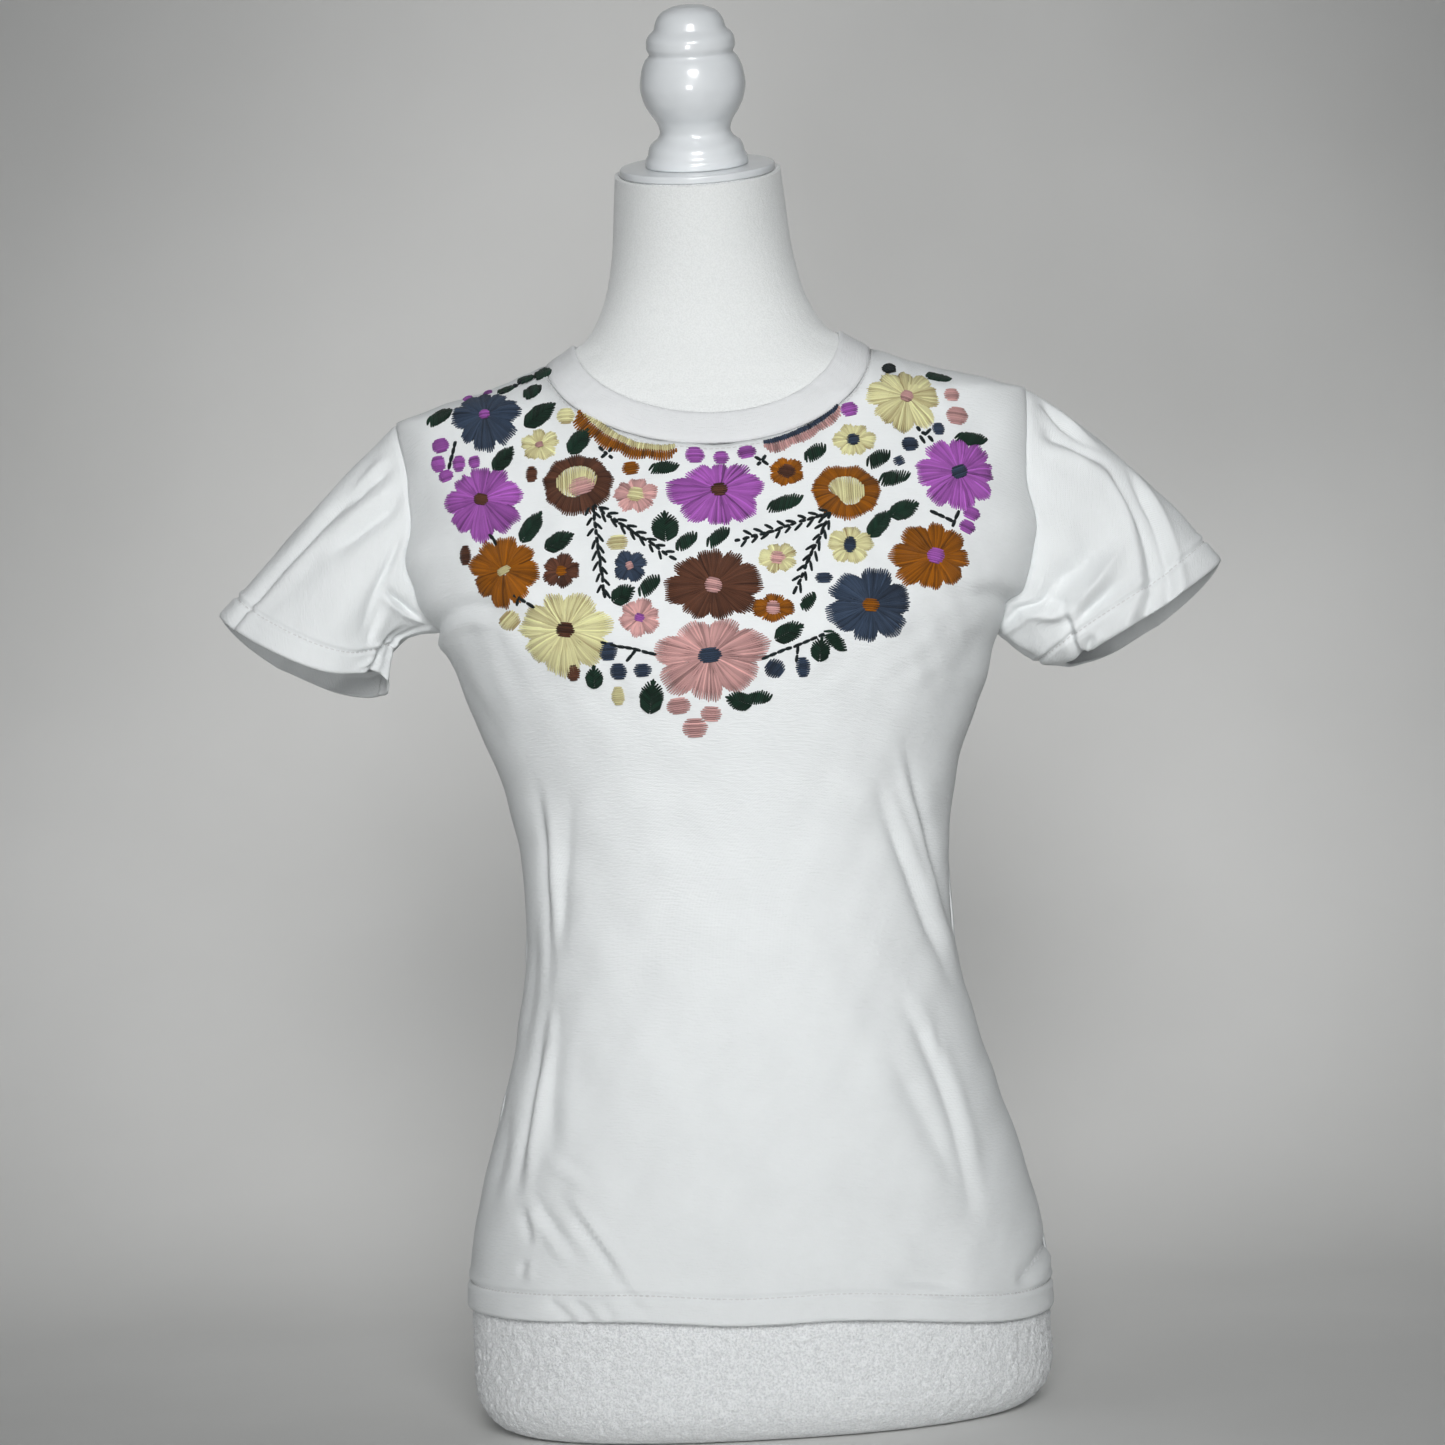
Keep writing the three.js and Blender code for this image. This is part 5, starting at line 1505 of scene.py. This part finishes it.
# %% Edging below the neckline
EDGINGS = records("thread x0 z0 x1 z1 x2 z2 above0 above1 below0 below1 lobes", [
    ("ochre", -72, 561, -49, 541, -20, 535.5, 2.2, 1.8, 8.8, 4.6, 4),
    ("cream", -71, 563, -48, 543, -21, 537.5, 3.2, 2.6, 1.6, 1.4, 0),
    ("slate", 28, 537.5, 49, 544, 69, 556, 1.8, 1.6, 1.9, 1.9, 0),
    ("pink", 28, 536, 49.5, 542, 70, 555, 1.2, 1.2, 5.6, 4.6, 3),
])
CURVED, END_SHARE = 1.05, 0.08  # a curve over its chord, and the share in which an end tapers
END_WIDE, DIP, SCALLOP = 0.3, 0.66, 0.34


def edging(row):
    """Short stitches across a curved line, from above it to a scalloped edge below it."""
    ends = np.reshape(row[1:7], (3, 2))
    t = np.linspace(0, 1, round(np.linalg.norm(ends[2] - ends[0]) * CURVED / SPACING))
    line = bent_line(*ends, t)
    along = unit(np.gradient(line, axis=0))
    across = np.stack([-along[:, 1], along[:, 0]], -1)
    scallop = DIP + SCALLOP * np.abs(np.sin(np.pi * row.lobes * t)) if row.lobes else 1
    above = lerp(row.above0, row.above1, t)
    blunt = [smooth(way / END_SHARE + END_WIDE) for way in (t, 1 - t)]
    below = lerp(row.below0, row.below1, t) * scallop * blunt[0] * blunt[1]
    sew(row.thread, line + across * above[:, None], line - across * below[:, None], shade=0.45)


for row in EDGINGS:
    edging(row)
print("edgings", len(EDGINGS), "stitches", stitch_count())

# %% Stems, sprigs and crosses
LINE_HALF, FEATHER_HALF, LINE_TALL, BACKSTITCH, STRAY = 1.0, 0.9, 1.0, 4.5, 0.25
STEMS = records("x0 z0 x1 z1", [
    (-66, 434, -36, 426), (-53, 423, -46, 429.5), (19, 420, 54, 432), (39, 427, 38, 418),
    (-112, 463, -100, 455), (-110, 457, -107, 462), (-123, 497, -119, 489), (-140, 550, -145, 535),
    (111, 543, 119, 534), (115, 533, 113, 538), (115, 496, 127, 489), (131, 495, 126, 486),
    (-116, 575, -97, 584), (-62, 541, -54, 533), (-54, 540, -61, 534), (22, 530, 29, 526),
    (28, 531, 23, 525), (119, 541, 115, 537),
])
SPRIGS = records("x0 z0 x1 z1", [
    (-67, 509, -62, 457), (-67, 509, -23, 476), (61, 497, 8, 484), (61, 497, 38, 454),
])
FEATHER_LONG, FEATHER_STEP, FEATHER_OPEN = 6.0, 6.2, np.radians(32)
FEATHER_FROM, FEATHER_STAGGER, FEATHER_ASIDE, FEATHER_STRAY = 0.35, 0.25, 0.6, 0.12


def backstitched(x0, z0, x1, z1):
    """A line of short stitches end to end."""
    start, end = np.array([x0, z0], float), np.array([x1, z1], float)
    count = max(1, round(np.linalg.norm(end - start) / BACKSTITCH))
    t = np.linspace(0, 1, count + 1)[:, None]
    points = lerp(start, end, t) + chance.normal(0, STRAY, (count + 1, 2))
    sew("dark", points[:-1], points[1:], LINE_TALL, LINE_HALF, under=0.1, shade=0.4, ragged=1.0)
    return start, end


for row in STEMS:
    backstitched(*row)
for row in SPRIGS:
    start, end = backstitched(*row)
    along = unit(end - start)
    count = int(np.linalg.norm(end - start) / FEATHER_STEP)
    for side in (-1, 1):
        steps = np.arange(count) + FEATHER_FROM + FEATHER_STAGGER * side
        root = start + along * (steps * FEATHER_STEP)[:, None]
        open_by = side * FEATHER_OPEN + chance.normal(0, FEATHER_STRAY, count)
        c, s = np.cos(open_by), np.sin(open_by)
        way = np.stack([along[0] * c - along[1] * s, along[0] * s + along[1] * c], -1)
        root = root + np.array([-along[1], along[0]]) * side * FEATHER_ASIDE
        sew("dark", root, root + way * FEATHER_LONG, LINE_TALL, FEATHER_HALF, shade=0.4, ragged=0.6)
print("stems and sprigs", len(STEMS) + len(SPRIGS), "stitches", stitch_count())

# %% Sewing the yoke onto the front
WIDEST = 1.7  # stitches widen, up to this, where the cloth turns away from the front

for thread, colour in THREADS.items():
    rows, t = np.concatenate(sewn[thread]), eased(STATIONS)
    start, end = rows[:, None, 0:2], rows[:, None, 2:4]
    tall, half, under, shade, bow = rows[:, 4:].T
    step = unit(end - start)
    bent = np.stack([-step[..., 1], step[..., 0]], -1) * (bow[:, None] * np.sin(np.pi * t))[..., None]
    flat = lerp(start, end, t[:, None]) + bent
    turn = turn_at_side(FRONT, flat[..., 0], flat[..., 1])
    path, out = body_cloth(FRONT, turn, flat[..., 1])
    wider = np.clip(1 / np.maximum(-out[:, STATIONS // 2, 1], 0.1), 1, WIDEST)
    ridges(f"thread_{thread}", path, out, half * wider, tall, under, np.clip(shade, 0, 1),
           thread_finish(thread, colour))
print("  stitches sewn", stitch_count())

# %% [markdown]
# ## Hem stitches
# The hems are turned up once and held by a row of short machine stitches, fourteen millimetres
# above the edge. They pull the cloth in, so it puffs up just above them, and each stitch stands
# in its groove. A finer row holds the neckband's seam down.

# %% Hem stitches
HEM_STITCH, HEM_PITCH, HEM_STATIONS = 2.8, 3.2, 4
MACHINE_HALF, MACHINE_TALL, MACHINE_LIFT, MACHINE_SHADE = 0.42, 0.35, 0.05, 0.6
MACHINE_THREAD = 232, 235, 236
NECK_STITCH_AT = 3.0


def line_at(grid, run, at):
    """The line across a grid of cloth where its run up the columns is at."""
    col = np.arange(run.shape[1])
    row = (run < at).sum(0) - 1
    share = (at - run[row, col]) / (run[row + 1, col] - run[row, col])
    return lerp(grid[row, col], grid[row + 1, col], share[:, None])


def stitch_row(cloth, out, run, at):
    """Paths of even stitches along such a line, and the directions out of the cloth."""
    line, outs = line_at(cloth, run, at), line_at(out, run, at)
    along = run_along(line)
    place = HEM_PITCH * (np.arange(int(along[-1] / HEM_PITCH))[:, None] + 0.5)
    place = place + HEM_STITCH * (eased(HEM_STATIONS) - 0.5)
    line, outs = (np.stack([np.interp(place, along, column) for column in values.T], -1)
                  for values in (line, outs))
    return line, unit(outs)


hem_rows = [stitch_row(*cloth, HEM_STITCH_AT) for cloth in stitched_cloth]
hem_rows += [stitch_row(*cloth, NECK_STITCH_AT) for cloth in necklines]
path, out = (np.concatenate(parts) for parts in zip(*hem_rows))
ridges("thread_white", path, out, MACHINE_HALF, MACHINE_TALL, MACHINE_LIFT, MACHINE_SHADE,
       thread_finish("white", MACHINE_THREAD))
print("  machine stitches", len(path))

# %% [markdown]
# ## Floor and light
# A pale floor that sweeps up behind the form, and four soft lamps. The key lamp is high in front
# and its beam is narrow, so that it falls off towards the sleeves and the hem. A low fill and a
# broad one overhead keep the shaded parts open, and the last one lights the wall.

# %% Floor, backdrop and lamps
FLOOR_WIDE, FLOOR_FRONT, WALL_AT, WALL_HIGH, SWEEP = 4.0, -2.6, 1.1, 3.2, 0.7


def floor_finish():
    """Pale grey paper, a little uneven. Only its front is paper, so the back of the shirt can
    be looked at through it."""
    finish, tree, shader = new_finish("floor", (0.8, 0.8, 0.785), {"Roughness": 0.9})
    patch = noise(tree, place_on(tree, "Object"), 3, 4)
    paint(tree, shader, patch, (0.77, 0.77, 0.755), (0.83, 0.83, 0.815), 0.3, 0.7)
    behind = add_node(tree, "NewGeometry").outputs["Backfacing"]
    either = add_node(tree, "MixShader", Fac=behind)
    clear = add_node(tree, "BsdfTransparent")
    tree.links.new(shader.outputs["BSDF"], either.inputs[1])
    tree.links.new(clear.outputs["BSDF"], either.inputs[2])
    tree.links.new(either.outputs["Shader"], tree.nodes["Material Output"].inputs["Surface"])
    return finish


def studio_floor():
    """A floor that curves up into a wall: a straight run, a quarter circle and another run."""
    bend = np.linspace(0, QUARTER, 16)
    y = np.concatenate([[FLOOR_FRONT], WALL_AT - SWEEP + SWEEP * np.sin(bend), [WALL_AT]])
    z = np.concatenate([[0], SWEEP * (1 - np.cos(bend)), [WALL_HIGH]])
    x = np.array([-FLOOR_WIDE / 2, FLOOR_WIDE / 2])
    points = np.stack(np.broadcast_arrays(x, y[:, None], z[:, None]), -1)
    floor = new_object("floor", points, grid_faces(len(y), 2), floor_finish())


LAMPS = records("name x y z aim_y aim_z size spread watts", [
    ("key", 0.12, -2.3, 1.1, 0, 0.4, 0.9, 40, 2.8),
    ("fill", -0.3, -2.3, 0.12, 0, 0.45, 0.5, 50, 1.2),
    ("top", 0.2, 0.2, 2.6, 0, 0.4, 1.8, 180, 1.5),
    ("wall", 0, 0.45, 1.9, 1.1, 0.6, 0.8, 80, 1.3),
])


def add_lamps():
    """Square soft lamps that face the middle of the shirt, or the wall behind it."""
    for lamp in LAMPS:
        light = bpy.data.lights.new(lamp.name, "AREA")
        light.energy, light.size, light.spread = lamp.watts, lamp.size, np.radians(lamp.spread)
        holder = bpy.data.objects.new(lamp.name, light)
        holder.visible_camera = False
        place = np.array([lamp.x, lamp.y, lamp.z])
        back = unit(place - np.array([0, lamp.aim_y, lamp.aim_z]))
        side = unit(np.cross([0, 0, 1], back))
        turned = Matrix(np.stack([side, np.cross(back, side), back], 1)).to_4x4()
        holder.matrix_world = Matrix.Translation(place) @ turned
        bpy.context.scene.collection.objects.link(holder)


SKY, SKY_STRENGTH = (0.93, 0.97, 1.0, 1), 0.11
studio_floor()
add_lamps()
world = bpy.data.worlds.new("studio")
world.use_nodes = True
background = world.node_tree.nodes["Background"]
background.inputs["Color"].default_value = SKY
background.inputs["Strength"].default_value = SKY_STRENGTH
bpy.context.scene.world = world
bpy.context.scene.view_settings.view_transform = "Standard"
print("lamps", *(lamp.name for lamp in LAMPS))

# %% [markdown]
# ## The pieces of cloth
# The name of each piece of cloth is printed.

# %% Sheets
print("sheets", *(piece.name for piece in (front_piece, back_piece, sleeve_left, sleeve_right, band_piece)))
